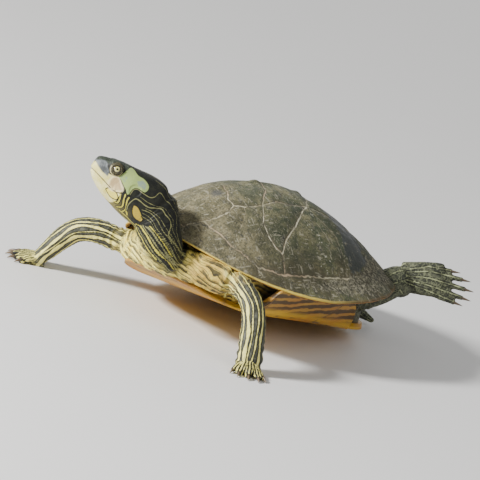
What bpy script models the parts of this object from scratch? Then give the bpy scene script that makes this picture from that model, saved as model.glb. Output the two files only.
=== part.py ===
"""A female map turtle, life size and still, basking with her neck raised and her legs spread.

The animal is modelled whole. Lofts along the neck, legs, tail and head join into one body of flesh,
the shell's two plates are cut out of it, and thin cuts then part it into named pieces.

Body axes, in millimetres: F forward from the middle of the shell, L to the turtle's left,
U up from the underside of the plastron. The turtle faces -Y in the world, with her left side at +X.
"""
import math

import bmesh
import bpy
import numpy as np

MM = 0.001

# Driving dimensions, in millimetres and degrees.
SHELL_LENGTH = 210.0      # carapace, straight from front edge to rear edge
SHELL_WIDTH = 0.77 * SHELL_LENGTH
SHELL_HEIGHT = 83.0       # top of the shell above the plastron's underside
APEX_F = 3.4              # the highest point lies a little ahead of the middle
WIDEST_AT = 0.62          # widest this far back along the shell
RIM_SIDE = 22.0           # height of the rim beside the bridge
RIM_FRONT_RISE = 20.0     # how much higher it is in front
RIM_REAR_RISE = 18.0      # and behind
LIP = 0.13                # share of the dome's rise that the marginal scutes make
SHELL_THICK = 3.2
RIM_THICK = 2.2
PLASTRON_THICK = 4.0
PLASTRON_FRONT = 99.0
PLASTRON_REAR = -93.0
GULAR_RISE = 12.5         # the front of the plastron curves up
LOBE_FRONT = 45.0         # half-widths of the plastron's two lobes
LOBE_REAR = 46.0
BRIDGE_FRONT = 48.0       # the bridge runs between the legs
BRIDGE_REAR = -38.0
HEAD_LENGTH = 50.0
EYE_RADIUS = 4.4

BODY_PITCH = 5.0          # nose up
BODY_ROLL = 8.0           # leaning to her right
BODY_ORIGIN = (3.26, 7.97, 11.8)

GAP = 0.3                 # clearance between pieces
NECK_TURN_FROM = (121.5, 8.0, 56.5)   # back of the skull, F L U
HEAD_FORWARD = (0.752, -0.562, 0.346)
HEAD_UP = (-0.289, 0.164, 0.943)

ROUND = 12                # sides of a leg


# ---------------------------------------------------------------- axes
def unit(v):
    v = np.asarray(v, float)
    return v / np.linalg.norm(v)


def body_axes():
    pitch, roll = math.radians(BODY_PITCH), math.radians(BODY_ROLL)
    forward = np.array([0.0, -math.cos(pitch), math.sin(pitch)])
    level_up = np.array([0.0, math.sin(pitch), math.cos(pitch)])
    level_left = np.array([1.0, 0.0, 0.0])
    left = level_left * math.cos(roll) + level_up * math.sin(roll)
    up = level_up * math.cos(roll) - level_left * math.sin(roll)
    return np.array([forward, left, up])


BODY = body_axes()


def placed(flu):
    """World millimetres of points given along the body's axes."""
    return np.asarray(flu, float) @ BODY + np.array(BODY_ORIGIN)


def turned(flu):
    """A direction given along the body's axes, in the world."""
    return unit(np.asarray(flu, float) @ BODY)


HEAD_F, HEAD_U = turned(HEAD_FORWARD), turned(HEAD_UP)
HEAD_L = np.cross(HEAD_U, HEAD_F)
SNOUT = placed(NECK_TURN_FROM) + HEAD_F * HEAD_LENGTH


def in_head(back, left, up):
    """World point of a place on the head: back from the snout, to its left, and up."""
    return SNOUT - HEAD_F * back + HEAD_L * left + HEAD_U * up


# ---------------------------------------------------------------- meshes
def material(name, colour, roughness=0.6):
    made = bpy.data.materials.new(name)
    made.use_nodes = True
    shader = made.node_tree.nodes["Principled BSDF"]
    shader.inputs["Base Color"].default_value = (*colour, 1.0)
    shader.inputs["Roughness"].default_value = roughness
    shader.inputs["Metallic"].default_value = 0.0
    return made


def solid(name, points, faces):
    """An object from points in world millimetres, with its faces turned outwards."""
    mesh = bpy.data.meshes.new(name)
    mesh.from_pydata([tuple(p) for p in np.asarray(points) * MM], [], faces)
    work = bmesh.new()
    work.from_mesh(mesh)
    bmesh.ops.recalc_face_normals(work, faces=work.faces)
    bmesh.ops.triangulate(work, faces=work.faces)
    work.to_mesh(mesh)
    work.free()
    made = bpy.data.objects.new(name, mesh)
    bpy.context.scene.collection.objects.link(made)
    return made


def combine(target, other, operation):
    """Boolean of two objects, applied to the first; the second is removed."""
    change = target.modifiers.new(operation.lower(), "BOOLEAN")
    change.operation = operation
    change.solver = "EXACT"
    change.object = other
    graph = bpy.context.evaluated_depsgraph_get()
    mesh = bpy.data.meshes.new_from_object(target.evaluated_get(graph))
    target.modifiers.remove(change)
    target.data = mesh
    bpy.data.objects.remove(other)
    return target


def union(objects):
    whole = objects[0]
    for other in objects[1:]:
        combine(whole, other, "UNION")
    return whole


def fused(objects, voxel, triangles):
    """Many small overlapping solids made one closed body, thinned to about this many triangles."""
    whole = objects[0]
    work = bmesh.new()
    for piece in objects:
        work.from_mesh(piece.data)
    work.to_mesh(whole.data)
    work.free()
    for piece in objects[1:]:
        bpy.data.objects.remove(piece)
    skin = whole.modifiers.new("fuse", "REMESH")
    skin.mode = "VOXEL"
    skin.voxel_size = voxel * MM
    for step in ("skin", "thin"):
        if step == "thin":
            thin = whole.modifiers.new("thin", "DECIMATE")
            thin.ratio = triangles / (2 * len(whole.data.polygons))
            thin.use_collapse_triangulate = True
        graph = bpy.context.evaluated_depsgraph_get()
        mesh = bpy.data.meshes.new_from_object(whole.evaluated_get(graph))
        whole.modifiers.clear()
        whole.data = mesh
    return whole


def smooth_path(stations, between):
    """Catmull-Rom through rows of numbers, with this many rings from each row to the next."""
    rows = np.asarray(stations, float)
    ends = np.vstack([2 * rows[0] - rows[1], rows, 2 * rows[-1] - rows[-2]])
    out = []
    for i in range(len(rows) - 1):
        a, b, c, d = ends[i:i + 4]
        for t in np.arange(between) / between:
            out.append(0.5 * (2 * b + (c - a) * t + (2 * a - 5 * b + 4 * c - d) * t * t
                              + (3 * b - a - 3 * c + d) * t ** 3))
    out.append(rows[-1])
    return np.array(out)


def oval(sides, power=2.0):
    """Points round a superellipse of unit half-widths."""
    angle = 2 * math.pi * np.arange(sides) / sides
    c, s = np.cos(angle), np.sin(angle)
    return np.sign(c) * np.abs(c) ** (2 / power), np.sign(s) * np.abs(s) ** (2 / power)


def lofted(name, rings):
    """A closed solid through rings of equal count, each end closed by a fan."""
    sides = len(rings[0])
    points = [p for ring in rings for p in ring]
    faces = []
    for i in range(len(rings) - 1):
        for j in range(sides):
            k = (j + 1) % sides
            faces.append((i * sides + j, i * sides + k, (i + 1) * sides + k, (i + 1) * sides + j))
    for ring, at in ((0, len(points)), (len(rings) - 1, len(points) + 1)):
        points.append(np.mean(rings[ring], axis=0))
        for j in range(sides):
            faces.append((ring * sides + j, ring * sides + (j + 1) % sides, at))
    return solid(name, points, faces)


def tube(name, stations, hint, sides=ROUND, between=2, power=2.0, blunt=True):
    """A loft along a path. A station is a world point, a half-width and a half-thickness;
    hint is the way the thickness faces."""
    rows = smooth_path(stations, between)
    path, size = rows[:, :3], np.maximum(rows[:, 3:5], 0.4)
    tangent = np.gradient(path, axis=0)
    c, s = oval(sides, power)
    rings = []
    for p, (wide, thick), t in zip(path, size, tangent):
        t = unit(t)
        side = unit(np.cross(t, hint))
        lift = np.cross(side, t)
        rings.append(p + np.outer(c * wide, side) + np.outer(s * thick, lift))
    if blunt:
        last, t = rings[-1], unit(tangent[-1])
        centre = path[-1]
        swell = float(size[-1].min())
        rings.append(centre + t * swell * 0.45 + (last - centre) * 0.75)
        rings.append(centre + t * swell * 0.72 + (last - centre) * 0.35)
    return lofted(name, rings)


# ---------------------------------------------------------------- shell
def outline(angle):
    """Rim of the carapace, F and L, by angle from the front; also how far back, 0 to 1."""
    c, s = math.cos(angle), math.sin(angle)
    power = 3.0 if c > 0 else 1.9
    along = -math.copysign(abs(c) ** (2 / power), c)
    back = ((1 + along) / 2) ** (math.log(WIDEST_AT) / math.log(0.5))
    wide = SHELL_WIDTH / 2 * abs(s) ** (2 / power)
    return SHELL_LENGTH * (0.5 - back), math.copysign(wide, s), back


def rim_height(back):
    ahead, behind = max(0.5 - back, 0) / 0.5, max(back - 0.5, 0) / 0.5
    return RIM_SIDE + RIM_FRONT_RISE * ahead ** 2.6 + RIM_REAR_RISE * behind ** 1.2


def dome(out, angle):
    """Share of the dome's rise at a place this far out from the apex, 0 to 1."""
    end_on = math.cos(angle) ** 2
    shoulder = math.sin(2 * angle) ** 2
    front = math.cos(angle) > 0
    bend = 0.877 + (0.054 if front else 0.029) * end_on
    power = 1.83 + (0.45 if front else -0.15) * end_on + 0.09 * shoulder
    lip = LIP + (0.07 if front else 0.05) * end_on
    if out < bend:
        return lip + (1 - lip) * (1 - (out / bend) ** power)
    return lip * (1 - out) / (1 - bend)


def keel(forward, left):
    """Height of the low keel, with a knob at the rear of each of the first vertebral scutes."""
    knobs = sum(math.exp(-((forward - at) / 5.0) ** 2) for at in (54.0, 21.0, -23.0))
    return (0.8 + 1.6 * knobs) * math.exp(-(left / 3.5) ** 2)


def carapace_point(out, angle):
    f, l, back = outline(angle)
    rim = rim_height(back)
    forward, left = APEX_F + (f - APEX_F) * out, l * out
    return np.array([forward, left, rim + (SHELL_HEIGHT - rim) * dome(out, angle) + keel(forward, left)])


def carapace_normal(out, angle):
    step = 1e-3
    out = max(out, 0.02)
    radial = carapace_point(out + step, angle) - carapace_point(out - step, angle)
    around = carapace_point(out, angle + step) - carapace_point(out, angle - step)
    return unit(np.cross(around, radial)) * (1 if np.cross(around, radial)[2] > 0 else -1)


def carapace(name, swell=0.0):
    """The upper shell as a plate; swell makes it larger on every side, as a cutter."""
    round_steps, rings = 44, (0.20, 0.40, 0.56, 0.69, 0.80, 0.90, 1.0)
    outer, inner = [], []
    for out in rings:
        thick = SHELL_THICK + (RIM_THICK - SHELL_THICK) * max(0, (out - 0.8) / 0.2)
        top, under = [], []
        for i in range(round_steps):
            angle = 2 * math.pi * (i + 0.5) / round_steps
            base, normal = carapace_point(out, angle), carapace_normal(out, angle)
            away = unit([*(base[:2] - [APEX_F, 0]), 0]) * swell * out
            top.append(placed(base + normal * swell + away))
            under.append(placed(base - normal * (thick + swell) + away))
        outer.append(top)
        inner.append(under)
    apex = carapace_point(0, 0)
    rows = outer + inner[::-1]
    points = [p for row in rows for p in row]
    points += [placed(apex + [0, 0, swell]), placed(apex - [0, 0, SHELL_THICK + swell])]
    faces, n, last = [], round_steps, len(rows) - 1
    for i in range(last):
        for j in range(n):
            k = (j + 1) % n
            faces.append((i * n + j, i * n + k, (i + 1) * n + k, (i + 1) * n + j))
    for j in range(n):
        k = (j + 1) % n
        faces.append((j, k, len(points) - 2))
        faces.append((last * n + j, last * n + k, len(points) - 1))
    return solid(name, points, faces)


def ease(low, high, x):
    s = min(max((x - low) / (high - low), 0.0), 1.0)
    return s * s * (3 - 2 * s)


def bridge_share(forward):
    """0 on the plastron's lobes, 1 along the bridge between the legs."""
    return ease(BRIDGE_FRONT + 8, BRIDGE_FRONT - 4, forward) * ease(BRIDGE_REAR - 24, BRIDGE_REAR + 10, forward)


def lobe_width(forward):
    """Half-width of the plastron's plate, without the bridges."""
    front = LOBE_FRONT * (1 - max(0.0, (forward - 60) / (PLASTRON_FRONT + 3.5 - 60)) ** 2.2) ** 0.5
    rear = LOBE_REAR * (1 - max(0.0, (-54 - forward) / (-54 - PLASTRON_REAR + 4)) ** 2.4) ** 0.5
    return min(front, rear)


def plastron_section(forward, share):
    """A place on the plastron's underside: share runs from -1 at the right edge to 1 at the left."""
    reach = 74.0
    wing = bridge_share(forward)
    half = lobe_width(forward) * (1 - wing) + reach * wing
    left = half * share
    rise = wing * 22.0 * max(0.0, (abs(left) - 46) / (reach - 46)) ** 1.5
    curl = GULAR_RISE * max(0.0, (forward - 42) / (PLASTRON_FRONT - 42)) ** 1.5
    return np.array([forward, left, rise + curl])


def plastron(name, swell=0.0):
    """The lower shell: two lobes and the bridges that rise to the carapace."""
    stations = list(np.linspace(PLASTRON_FRONT, 64, 8)) + [58, 54, 50, 46, 42] + list(np.linspace(34, -28, 6))
    stations += [-32, -36, -40, -44, -48] + list(np.linspace(-56, PLASTRON_REAR, 7))
    stations = [f + swell * (1 if f > 0 else -1) * abs(f) / 100 for f in stations]
    shares = np.sin(np.linspace(-math.pi / 2, math.pi / 2, 11))
    rows = []
    for forward in stations:
        under = [plastron_section(forward, s) for s in shares]
        slope = np.gradient(np.array(under), axis=0)
        over = []
        for k, (p, d) in enumerate(zip(under, slope)):
            normal = unit(np.cross([1, 0, 0], d))
            edge = abs(shares[k]) > 0.999
            thick = PLASTRON_THICK * (0.55 if edge else 1.0)
            side = np.array([0, math.copysign(swell, p[1]), 0]) if edge else np.zeros(3)
            over.append(placed(p + normal * (thick + swell) + side))
            under[k] = placed(p - normal * swell + side)
        rows.append(under + over[::-1])
    return lofted(name, rows)


def trunk_core(name):
    """Flesh that fills the shell, from the plastron up to the underside of the dome."""
    round_steps = 18
    rows = []
    inset = SHELL_THICK + 1.3
    for out in (0.84, 0.76, 0.66, 0.54, 0.40, 0.20):
        row = []
        for i in range(round_steps):
            angle = 2 * math.pi * (i + 0.5) / round_steps
            row.append(carapace_point(out, angle) - carapace_normal(out, angle) * inset)
        rows.append(row)
    floor_row = []
    for f, l, u in rows[0]:
        forward = min(max(f, PLASTRON_REAR + 6), PLASTRON_FRONT - 5)
        edge = lobe_width(forward) - 4
        base = plastron_section(forward, 0)[2] + PLASTRON_THICK + 1.0
        floor_row.append(np.array([forward, math.copysign(min(abs(l), edge), l), base]))
    middle = [0.5 * (a + b) for a, b in zip(floor_row, rows[0])]
    rings = [[placed(p) for p in row] for row in [floor_row, middle] + rows]
    return lofted(name, rings)


# ---------------------------------------------------------------- limbs
def stations_in_body(rows):
    return [(*placed(row[:3]), row[3], row[4]) for row in rows]


# F, L, U, half-width, half-thickness along each limb, from inside the shell outwards.
NECK = ((62, 2, 25, 17, 12), (82, 4, 24, 21, 12.5), (97, 8, 25.5, 20, 12.5), (108, 13, 30, 18, 13),
        (114.5, 15.5, 38, 16.2, 14.4), (118, 13, 47, 15.6, 15.8), (120.5, 8, 56.5, 15.6, 17))
CHEST = ((70, -46, 19.5, 9, 10.5), (84, -34, 21.5, 9, 11), (95, -14, 21, 8, 9), (96.5, 10, 21, 8, 9),
         (91, 31, 23.5, 9, 11), (75, 47, 21, 10, 11))
FORELEG_LEFT = ((56, 26, 21, 13, 11), (65, 41, 22, 11, 10), (69.5, 52, 21.5, 8.8, 8.6), (70.5, 64, 17.8, 7.6, 7.2),
                (71, 75, 10.3, 8.0, 7.2), (73.5, 83, -0.9, 8.4, 7.0), (75.5, 88, -14.2, 8.8, 6.4),
                (77, 91.5, -26.5, 9.0, 5.2))
FORELEG_RIGHT = ((56, -26, 21, 13, 11), (66, -41, 22, 11, 10), (80, -51, 21, 9.2, 8.4), (93, -63, 23, 8.8, 8.4),
                 (101.5, -72, 20, 8.4, 8.2), (107, -79, 11.5, 8.2, 7.6), (111, -84, 2.0, 8.2, 6.4),
                 (114, -88, -4.8, 8.4, 5.2))
HINDLEG_LEFT = ((-48, 30, 22, 16, 13), (-66, 38, 25, 13.5, 11), (-81, 42, 30, 11.5, 9.5), (-91, 44.5, 36, 10.8, 9),
                (-96.5, 46, 38, 10.5, 8.8), (-99, 48, 33.5, 8.6, 7.4))
HINDLEG_RIGHT = ((-44, -30, 18, 15, 12), (-56, -47, 16, 13, 11), (-64, -62, 15, 11.5, 10), (-74, -70, 14, 9.5, 8.6),
                 (-83, -75, 12.2, 8.6, 6.6), (-89, -79, 10.4, 8.8, 5.4))
TAIL = ((-74, 0, 17, 11, 9), (-90, 0, 14, 8.5, 7.5), (-101, 1, 11, 6.0, 5.6), (-113, 3, 6, 3.8, 3.8),
        (-124, 6, 2, 1.8, 1.8))

# Sections of the head: back from the snout, top, bottom, half-width.
HEAD = ((-0.6, 7.0, -0.6, 3.2), (1.0, 8.4, -4.2, 5.8), (4.5, 10.0, -7.4, 7.8), (9.0, 11.4, -9.8, 9.8),
        (13.0, 13.0, -11.6, 11.4), (17.5, 14.0, -13.2, 12.8), (23.0, 14.8, -14.6, 14.4), (29.0, 15.8, -16.0, 15.8),
        (36.0, 17.2, -17.2, 16.6), (43.0, 17.8, -17.8, 16.6), (50.0, 17.0, -17.6, 15.8), (54.0, 14.0, -15.0, 13.0))
EYE_BACK, EYE_SIDE, EYE_UP = 13.4, 8.3, 6.6

# Feet: the way the toes point, the way the back of the foot faces, and the toes' spread.
TOES = {"fore": ((-30, 11.0), (-15, 14.0), (0, 15.0), (15, 14.0), (31, 10.5)),
        "hind": ((-27, 24.0), (-12, 29.0), (3, 30.0), (18, 27.0), (35, 19.0))}
PALM = {"fore": (12.0, 9.2, 4.0), "hind": (25.0, 11.5, 4.0)}
CLAW_LENGTH = {"fore": 6.5, "hind": 7.5}


def head_loft(name):
    rows = smooth_path(HEAD, 2)
    c, s = oval(14, 2.35)
    rings = []
    for back, top, bottom, wide in rows:
        middle, half = (top + bottom) / 2, (top - bottom) / 2
        narrow = 1 - 0.16 * np.clip(s, 0, 1) ** 2
        rings.append([in_head(back, wide * a * n, middle + half * b) for a, b, n in zip(c, s, narrow)])
    return lofted(name, rings)


def ellipsoid(name, centre, axes, sizes, segments=12, rings=7):
    points, faces = [], []
    for i in range(1, rings):
        tall = math.pi * i / rings
        for j in range(segments):
            turn = 2 * math.pi * j / segments
            local = (math.sin(tall) * math.cos(turn), math.sin(tall) * math.sin(turn), math.cos(tall))
            points.append(centre + sum(a * s * k for a, s, k in zip(axes, sizes, local)))
    for i in range(rings - 2):
        for j in range(segments):
            k = (j + 1) % segments
            faces.append((i * segments + j, i * segments + k, (i + 1) * segments + k, (i + 1) * segments + j))
    points += [centre + axes[2] * sizes[2], centre - axes[2] * sizes[2]]
    low = (rings - 2) * segments
    for j in range(segments):
        k = (j + 1) % segments
        faces.append((j, k, len(points) - 2))
        faces.append((low + j, low + k, len(points) - 1))
    return solid(name, points, faces)


def eye_centre(side):
    return in_head(EYE_BACK, EYE_SIDE * side, EYE_UP)


def eye_ball(name, side, radius):
    return ellipsoid(name, eye_centre(side), (HEAD_F, HEAD_U, HEAD_L * side), (radius,) * 3)


def web(name, first, second, thick):
    """A thin sheet of skin between two toes, each given as points from its root outwards."""
    steps = len(first)
    top, bottom = [], []
    for i in range(steps):
        share = np.linspace(0, 1, 4)
        sag = 1 - 0.18 * np.sin(math.pi * share) * i / (steps - 1)
        row = [first[0] * (1 - g) + first[i] * g for g in sag]
        mate = [second[0] * (1 - g) + second[i] * g for g in sag]
        line = [a * (1 - s) + b * s for a, b, s in zip(row, mate, share)]
        normal = unit(np.cross(first[-1] - first[0], second[-1] - first[0]))
        top.append([p + normal * thick / 2 for p in line])
        bottom.append([p - normal * thick / 2 for p in line])
    rings = [t + b[::-1] for t, b in zip(top, bottom)]
    return lofted(name, rings)


def foot(name, kind, root, forward, face, lean=0.0, splay=1.0):
    """Palm, webbed toes and claws. forward is the way the palm points, face the way its back faces,
    lean turns the toes sideways from forward, in degrees,
    and splay is how far they spread."""
    forward = unit(forward)
    across = unit(np.cross(face, forward))
    face = np.cross(forward, across)
    long, wide, thick = PALM[kind]
    start = root - forward * 4.0
    palm = [(*(start), wide * 0.86, thick * 1.1), (*(start + forward * long * 0.55), wide, thick),
            (*(start + forward * long), wide * 1.05, thick * 0.85), (*(start + forward * (long + 4)), wide, thick * 0.6)]
    pieces = [tube(name, palm, face, sides=10, between=1, power=2.3)]
    roots = []
    for degrees, length in TOES[kind]:
        turn, spread = math.radians(degrees * splay + lean), math.radians(degrees) * 2.2
        way = forward * math.cos(turn) + across * math.sin(turn)
        heel = start + forward * long * 0.62 + across * wide * 0.74 * math.sin(spread)
        points = [heel + way * length * g - face * (1.6 * g * g) for g in np.linspace(0.15, 1, 5)]
        toe = [(*p, w, h) for p, w, h in zip(points, (2.5, 2.4, 2.3, 2.1, 1.6), (2.4, 2.2, 2.1, 1.9, 1.5))]
        pieces.append(tube(name + "_toe", toe, face, sides=7, between=1))
        claw_start = points[-1] - way * 1.2
        reach = CLAW_LENGTH[kind]
        claw = [(*(claw_start + way * reach * g + face * (0.9 * math.sin(g * 2.2) - 2.1 * g * g)), w, w)
                for g, w in ((0, 1.3), (0.45, 1.15), (1.0, 0.4))]
        pieces.append(tube(name + "_claw", claw, face, sides=5, between=1, blunt=False))
        roots.append(points)
    for first, second in zip(roots, roots[1:]):
        pieces.append(web(name + "_web", first[:4], second[:4], 1.6))
    return fused(pieces, 0.65, 330)


def floor_cutter():
    size = 400
    corners = [(x, y, z) for z in (-60, 0) for x, y in ((-size, -size), (size, -size), (size, size), (-size, size))]
    faces = [(0, 1, 2, 3), (4, 5, 6, 7)] + [(i, (i + 1) % 4, 4 + (i + 1) % 4, 4 + i) for i in range(4)]
    return solid("floor_cutter", corners, faces)


def disc(centre, normal, radius, thick=GAP, sides=20):
    """A thin round cutter."""
    normal = unit(normal)
    side = unit(np.cross(normal, [0.31, 0.52, 0.79]))
    other = np.cross(normal, side)
    c, s = oval(sides)
    ring = np.outer(c * radius, side) + np.outer(s * radius, other)
    return lofted("cut", [centre - normal * thick / 2 + ring, centre + normal * thick / 2 + ring])


def along(rows, share):
    """Place and direction on a limb's path, share from 0 to 1."""
    path = smooth_path([placed(row[:3]) for row in rows], 8)
    index = int(round(share * (len(path) - 1)))
    index = min(max(index, 1), len(path) - 2)
    return path[index], path[index + 1] - path[index - 1]


def slab(corners, across, thick):
    """A thin flat cutter through a line of points, reaching this far to both sides."""
    rings = []
    for i, p in enumerate(corners):
        ahead = corners[min(i + 1, len(corners) - 1)] - corners[max(i - 1, 0)]
        up = unit(np.cross(ahead, across))
        rings.append([p + across + up * thick / 2, p - across + up * thick / 2,
                      p - across - up * thick / 2, p + across - up * thick / 2])
    return lofted("cut", rings)


def islands(target, seeds):
    """Part an object into its separate bodies, each named after the seed nearest to it."""
    work = bmesh.new()
    work.from_mesh(target.data)
    work.verts.ensure_lookup_table()
    left = set(work.verts)
    groups = []
    while left:
        group, edge = set(), [left.pop()]
        while edge:
            vertex = edge.pop()
            group.add(vertex)
            for link in vertex.link_edges:
                other = link.other_vert(vertex)
                if other in left:
                    left.remove(other)
                    edge.append(other)
        groups.append(group)
    made = {}
    for group in groups:
        order = {v: i for i, v in enumerate(sorted(group, key=lambda v: v.index))}
        points = np.array([v.co for v in order]) / MM
        faces = [[order[v] for v in f.verts] for f in work.faces if f.verts[0] in order]
        if np.ptp(points, axis=0).min() < 2.0:
            continue
        middle = (points.min(axis=0) + points.max(axis=0)) / 2
        name = min(seeds, key=lambda k: np.linalg.norm(seeds[k] - middle))
        if name in made:
            name = name + "_more"
        made[name] = solid(name, points, faces)
    work.free()
    bpy.data.objects.remove(target)
    return made


def main():
    for old in list(bpy.data.objects):
        bpy.data.objects.remove(old)
    skin = material("skin", (0.13, 0.13, 0.07), 0.55)
    shell = material("carapace", (0.12, 0.10, 0.07), 0.65)
    belly = material("plastron", (0.62, 0.42, 0.12), 0.5)
    eye = material("eye", (0.55, 0.52, 0.30), 0.1)

    upper = carapace("carapace")
    lower = combine(plastron("plastron"), carapace("cutter", GAP), "DIFFERENCE")
    combine(lower, floor_cutter(), "DIFFERENCE")

    up = turned((0, 0, 1))
    outward_left, outward_right = turned((0.62, 0.72, 0.3)), turned((0.3, -0.3, 0.9))
    neck_hint = turned((-0.85, 0.0, 0.5))
    flesh = [trunk_core("flesh"), tube("neck", stations_in_body(NECK), neck_hint, sides=18),
             tube("chest", stations_in_body(CHEST), up, sides=12),
             tube("fl", stations_in_body(FORELEG_LEFT), outward_left),
             tube("fr", stations_in_body(FORELEG_RIGHT), outward_right),
             tube("hl", stations_in_body(HINDLEG_LEFT), turned((0.15, 0.85, 0.5))),
             tube("hr", stations_in_body(HINDLEG_RIGHT), up),
             tube("tail", stations_in_body(TAIL), up, sides=10)]
    body = union(flesh)
    head = union([head_loft("head")] + [
        ellipsoid("brow", in_head(EYE_BACK, 7.6 * side, EYE_UP), (HEAD_F, HEAD_U, HEAD_L), (6.8, 6.2, 4.6))
        for side in (1, -1)])
    combine(body, head, "UNION")
    for side in (1, -1):
        combine(body, eye_ball("socket", side, EYE_RADIUS + GAP), "DIFFERENCE")
    combine(body, carapace("cutter", GAP), "DIFFERENCE")
    combine(body, plastron("cutter", GAP), "DIFFERENCE")
    hind_root, hind_way = placed((-100.5, 47.5, 42.3)), turned((-0.684, 0.707, 0.16))
    feet = {
        "left_forefoot": foot("ff_l", "fore", placed((77, 91.5, -28.6)), turned((0.62, 0.74, 0)) * [1, 1, 0], (0, 0, 1),
                              splay=0.8),
        "right_forefoot": foot("ff_r", "fore", placed((114, -88, -6.65)), turned((0.72, -0.69, 0)) * [1, 1, 0],
                               (0, 0, 1)),
        "left_hindfoot": foot("hf_l", "hind", hind_root, hind_way, turned((0.728, 0.677, 0.106)), lean=-11,
                              splay=0.2),
        "right_hindfoot": foot("hf_r", "hind", placed((-89, -79, 9.5)), turned((-0.60, -0.80, 0)) * [1, 1, 0],
                               (0, 0, 1)),
    }
    for made in feet.values():
        combine(body, made, "UNION")
    combine(body, floor_cutter(), "DIFFERENCE")

    cuts = {"neck": (NECK, 0.47, 27), "foreleg_l": (FORELEG_LEFT, 0.37, 13), "elbow_l": (FORELEG_LEFT, 0.64, 12),
            "wrist_l": (FORELEG_LEFT, 0.97, 13), "foreleg_r": (FORELEG_RIGHT, 0.33, 13),
            "elbow_r": (FORELEG_RIGHT, 0.58, 13), "wrist_r": (FORELEG_RIGHT, 0.95, 13),
            "hip_l": (HINDLEG_LEFT, 0.40, 16), "knee_l": (HINDLEG_LEFT, 0.50, 16),
            "hip_r": (HINDLEG_RIGHT, 0.36, 17), "knee_r": (HINDLEG_RIGHT, 0.62, 14),
            "ankle_r": (HINDLEG_RIGHT, 0.92, 13), "tail": (TAIL, 0.45, 10)}
    for rows, share, radius in cuts.values():
        centre, way = along(rows, share)
        combine(body, disc(centre, way, radius), "DIFFERENCE")
    combine(body, disc(in_head(46, 0, -1), HEAD_F, 24), "DIFFERENCE")
    combine(body, disc(hind_root + hind_way * 2.5, hind_way, 17), "DIFFERENCE")
    mouth = [in_head(-3, 0, -1.6), in_head(10, 0, -3.4), in_head(23, 0, -6.0), in_head(27, 0, -12.0),
             in_head(28, 0, -24.0)]
    combine(body, slab(mouth, HEAD_L * 22, GAP), "DIFFERENCE")

    seeds = {"trunk": placed((0, 0, 40)), "neck": placed((116, 13, 44)), "head": in_head(28, 0, 3),
             "lower_jaw": in_head(14, 0, -10), "tail": placed((-112, 3, 8)),
             "foreleg_upper_l": placed((71, 67, 15)), "foreleg_lower_l": placed((75, 87, -4)),
             "forefoot_l": placed((84, 101, -20)), "foreleg_upper_r": placed((92, -61, 22)),
             "foreleg_lower_r": placed((109, -81, 7)), "forefoot_r": placed((121, -95, -11)),
             "thigh_l": placed((-82, 43, 30)), "shin_l": placed((-97, 46, 39)), "hindfoot_l": placed((-130, 55, 42)),
             "thigh_r": placed((-62, -58, 15)), "shin_r": placed((-79, -72, 11)), "hindfoot_r": placed((-102, -95, 5))}
    for piece in islands(body, seeds).values():
        piece.data.materials.append(skin)
    upper.data.materials.append(shell)
    lower.data.materials.append(belly)
    for name, side in (("eye_l", 1), ("eye_r", -1)):
        eye_ball(name, side, EYE_RADIUS).data.materials.append(eye)


main()
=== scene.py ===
"""A basking female map turtle: the visual model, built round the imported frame.

One skin covers the flesh. It starts from the same lofts as the solids, is remeshed into one surface,
smoothed, folded and given lids, and carries its markings as distances to curves drawn on the body.
The shell's plates are sculpted sheets of scutes. Eyes and claws are pieces of their own.

Lengths in the shape functions are millimetres. Body axes: F forward, L to her left, U up.
"""
import math

import bmesh
import bpy
import numpy as np
from mathutils import Matrix, Vector

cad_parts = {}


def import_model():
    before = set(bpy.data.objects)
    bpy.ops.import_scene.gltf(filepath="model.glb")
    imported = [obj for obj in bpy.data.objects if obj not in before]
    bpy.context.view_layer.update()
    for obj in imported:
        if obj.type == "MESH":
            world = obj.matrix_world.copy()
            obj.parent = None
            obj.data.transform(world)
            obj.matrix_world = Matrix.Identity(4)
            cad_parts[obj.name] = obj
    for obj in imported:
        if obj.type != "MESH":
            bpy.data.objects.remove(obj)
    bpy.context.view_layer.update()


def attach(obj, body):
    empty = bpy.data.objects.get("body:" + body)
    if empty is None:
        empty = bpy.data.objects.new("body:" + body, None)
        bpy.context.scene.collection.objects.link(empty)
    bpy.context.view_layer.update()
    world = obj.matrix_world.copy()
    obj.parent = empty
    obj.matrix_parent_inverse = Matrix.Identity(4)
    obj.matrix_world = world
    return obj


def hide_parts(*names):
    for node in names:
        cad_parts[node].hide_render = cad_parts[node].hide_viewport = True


MM = 0.001
TURN = 2 * math.pi

# ---------------------------------------------------------------- dimensions, as in the solids
SHELL_LENGTH = 210.0
SHELL_WIDTH = 0.77 * SHELL_LENGTH
SHELL_HEIGHT = 83.0
APEX_F = 3.4
WIDEST_AT = 0.62
RIM_SIDE, RIM_FRONT_RISE, RIM_REAR_RISE = 22.0, 20.0, 18.0
LIP = 0.13
SHELL_THICK, RIM_THICK = 3.2, 2.2
PLASTRON_THICK = 4.0
PLASTRON_FRONT, PLASTRON_REAR = 99.0, -93.0
GULAR_RISE = 12.5
LOBE_FRONT, LOBE_REAR = 45.0, 46.0
BRIDGE_FRONT, BRIDGE_REAR = 48.0, -38.0
HEAD_LENGTH = 50.0
EYE_RADIUS = 4.4
BODY_PITCH, BODY_ROLL = 5.0, 8.0
BODY_ORIGIN = (3.26, 7.97, 11.8)
NECK_TURN_FROM = (121.5, 8.0, 56.5)
HEAD_FORWARD, HEAD_UP = (0.752, -0.562, 0.346), (-0.289, 0.164, 0.943)


# ---------------------------------------------------------------- axes
def unit(v):
    v = np.asarray(v, float)
    return v / np.linalg.norm(v)


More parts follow.
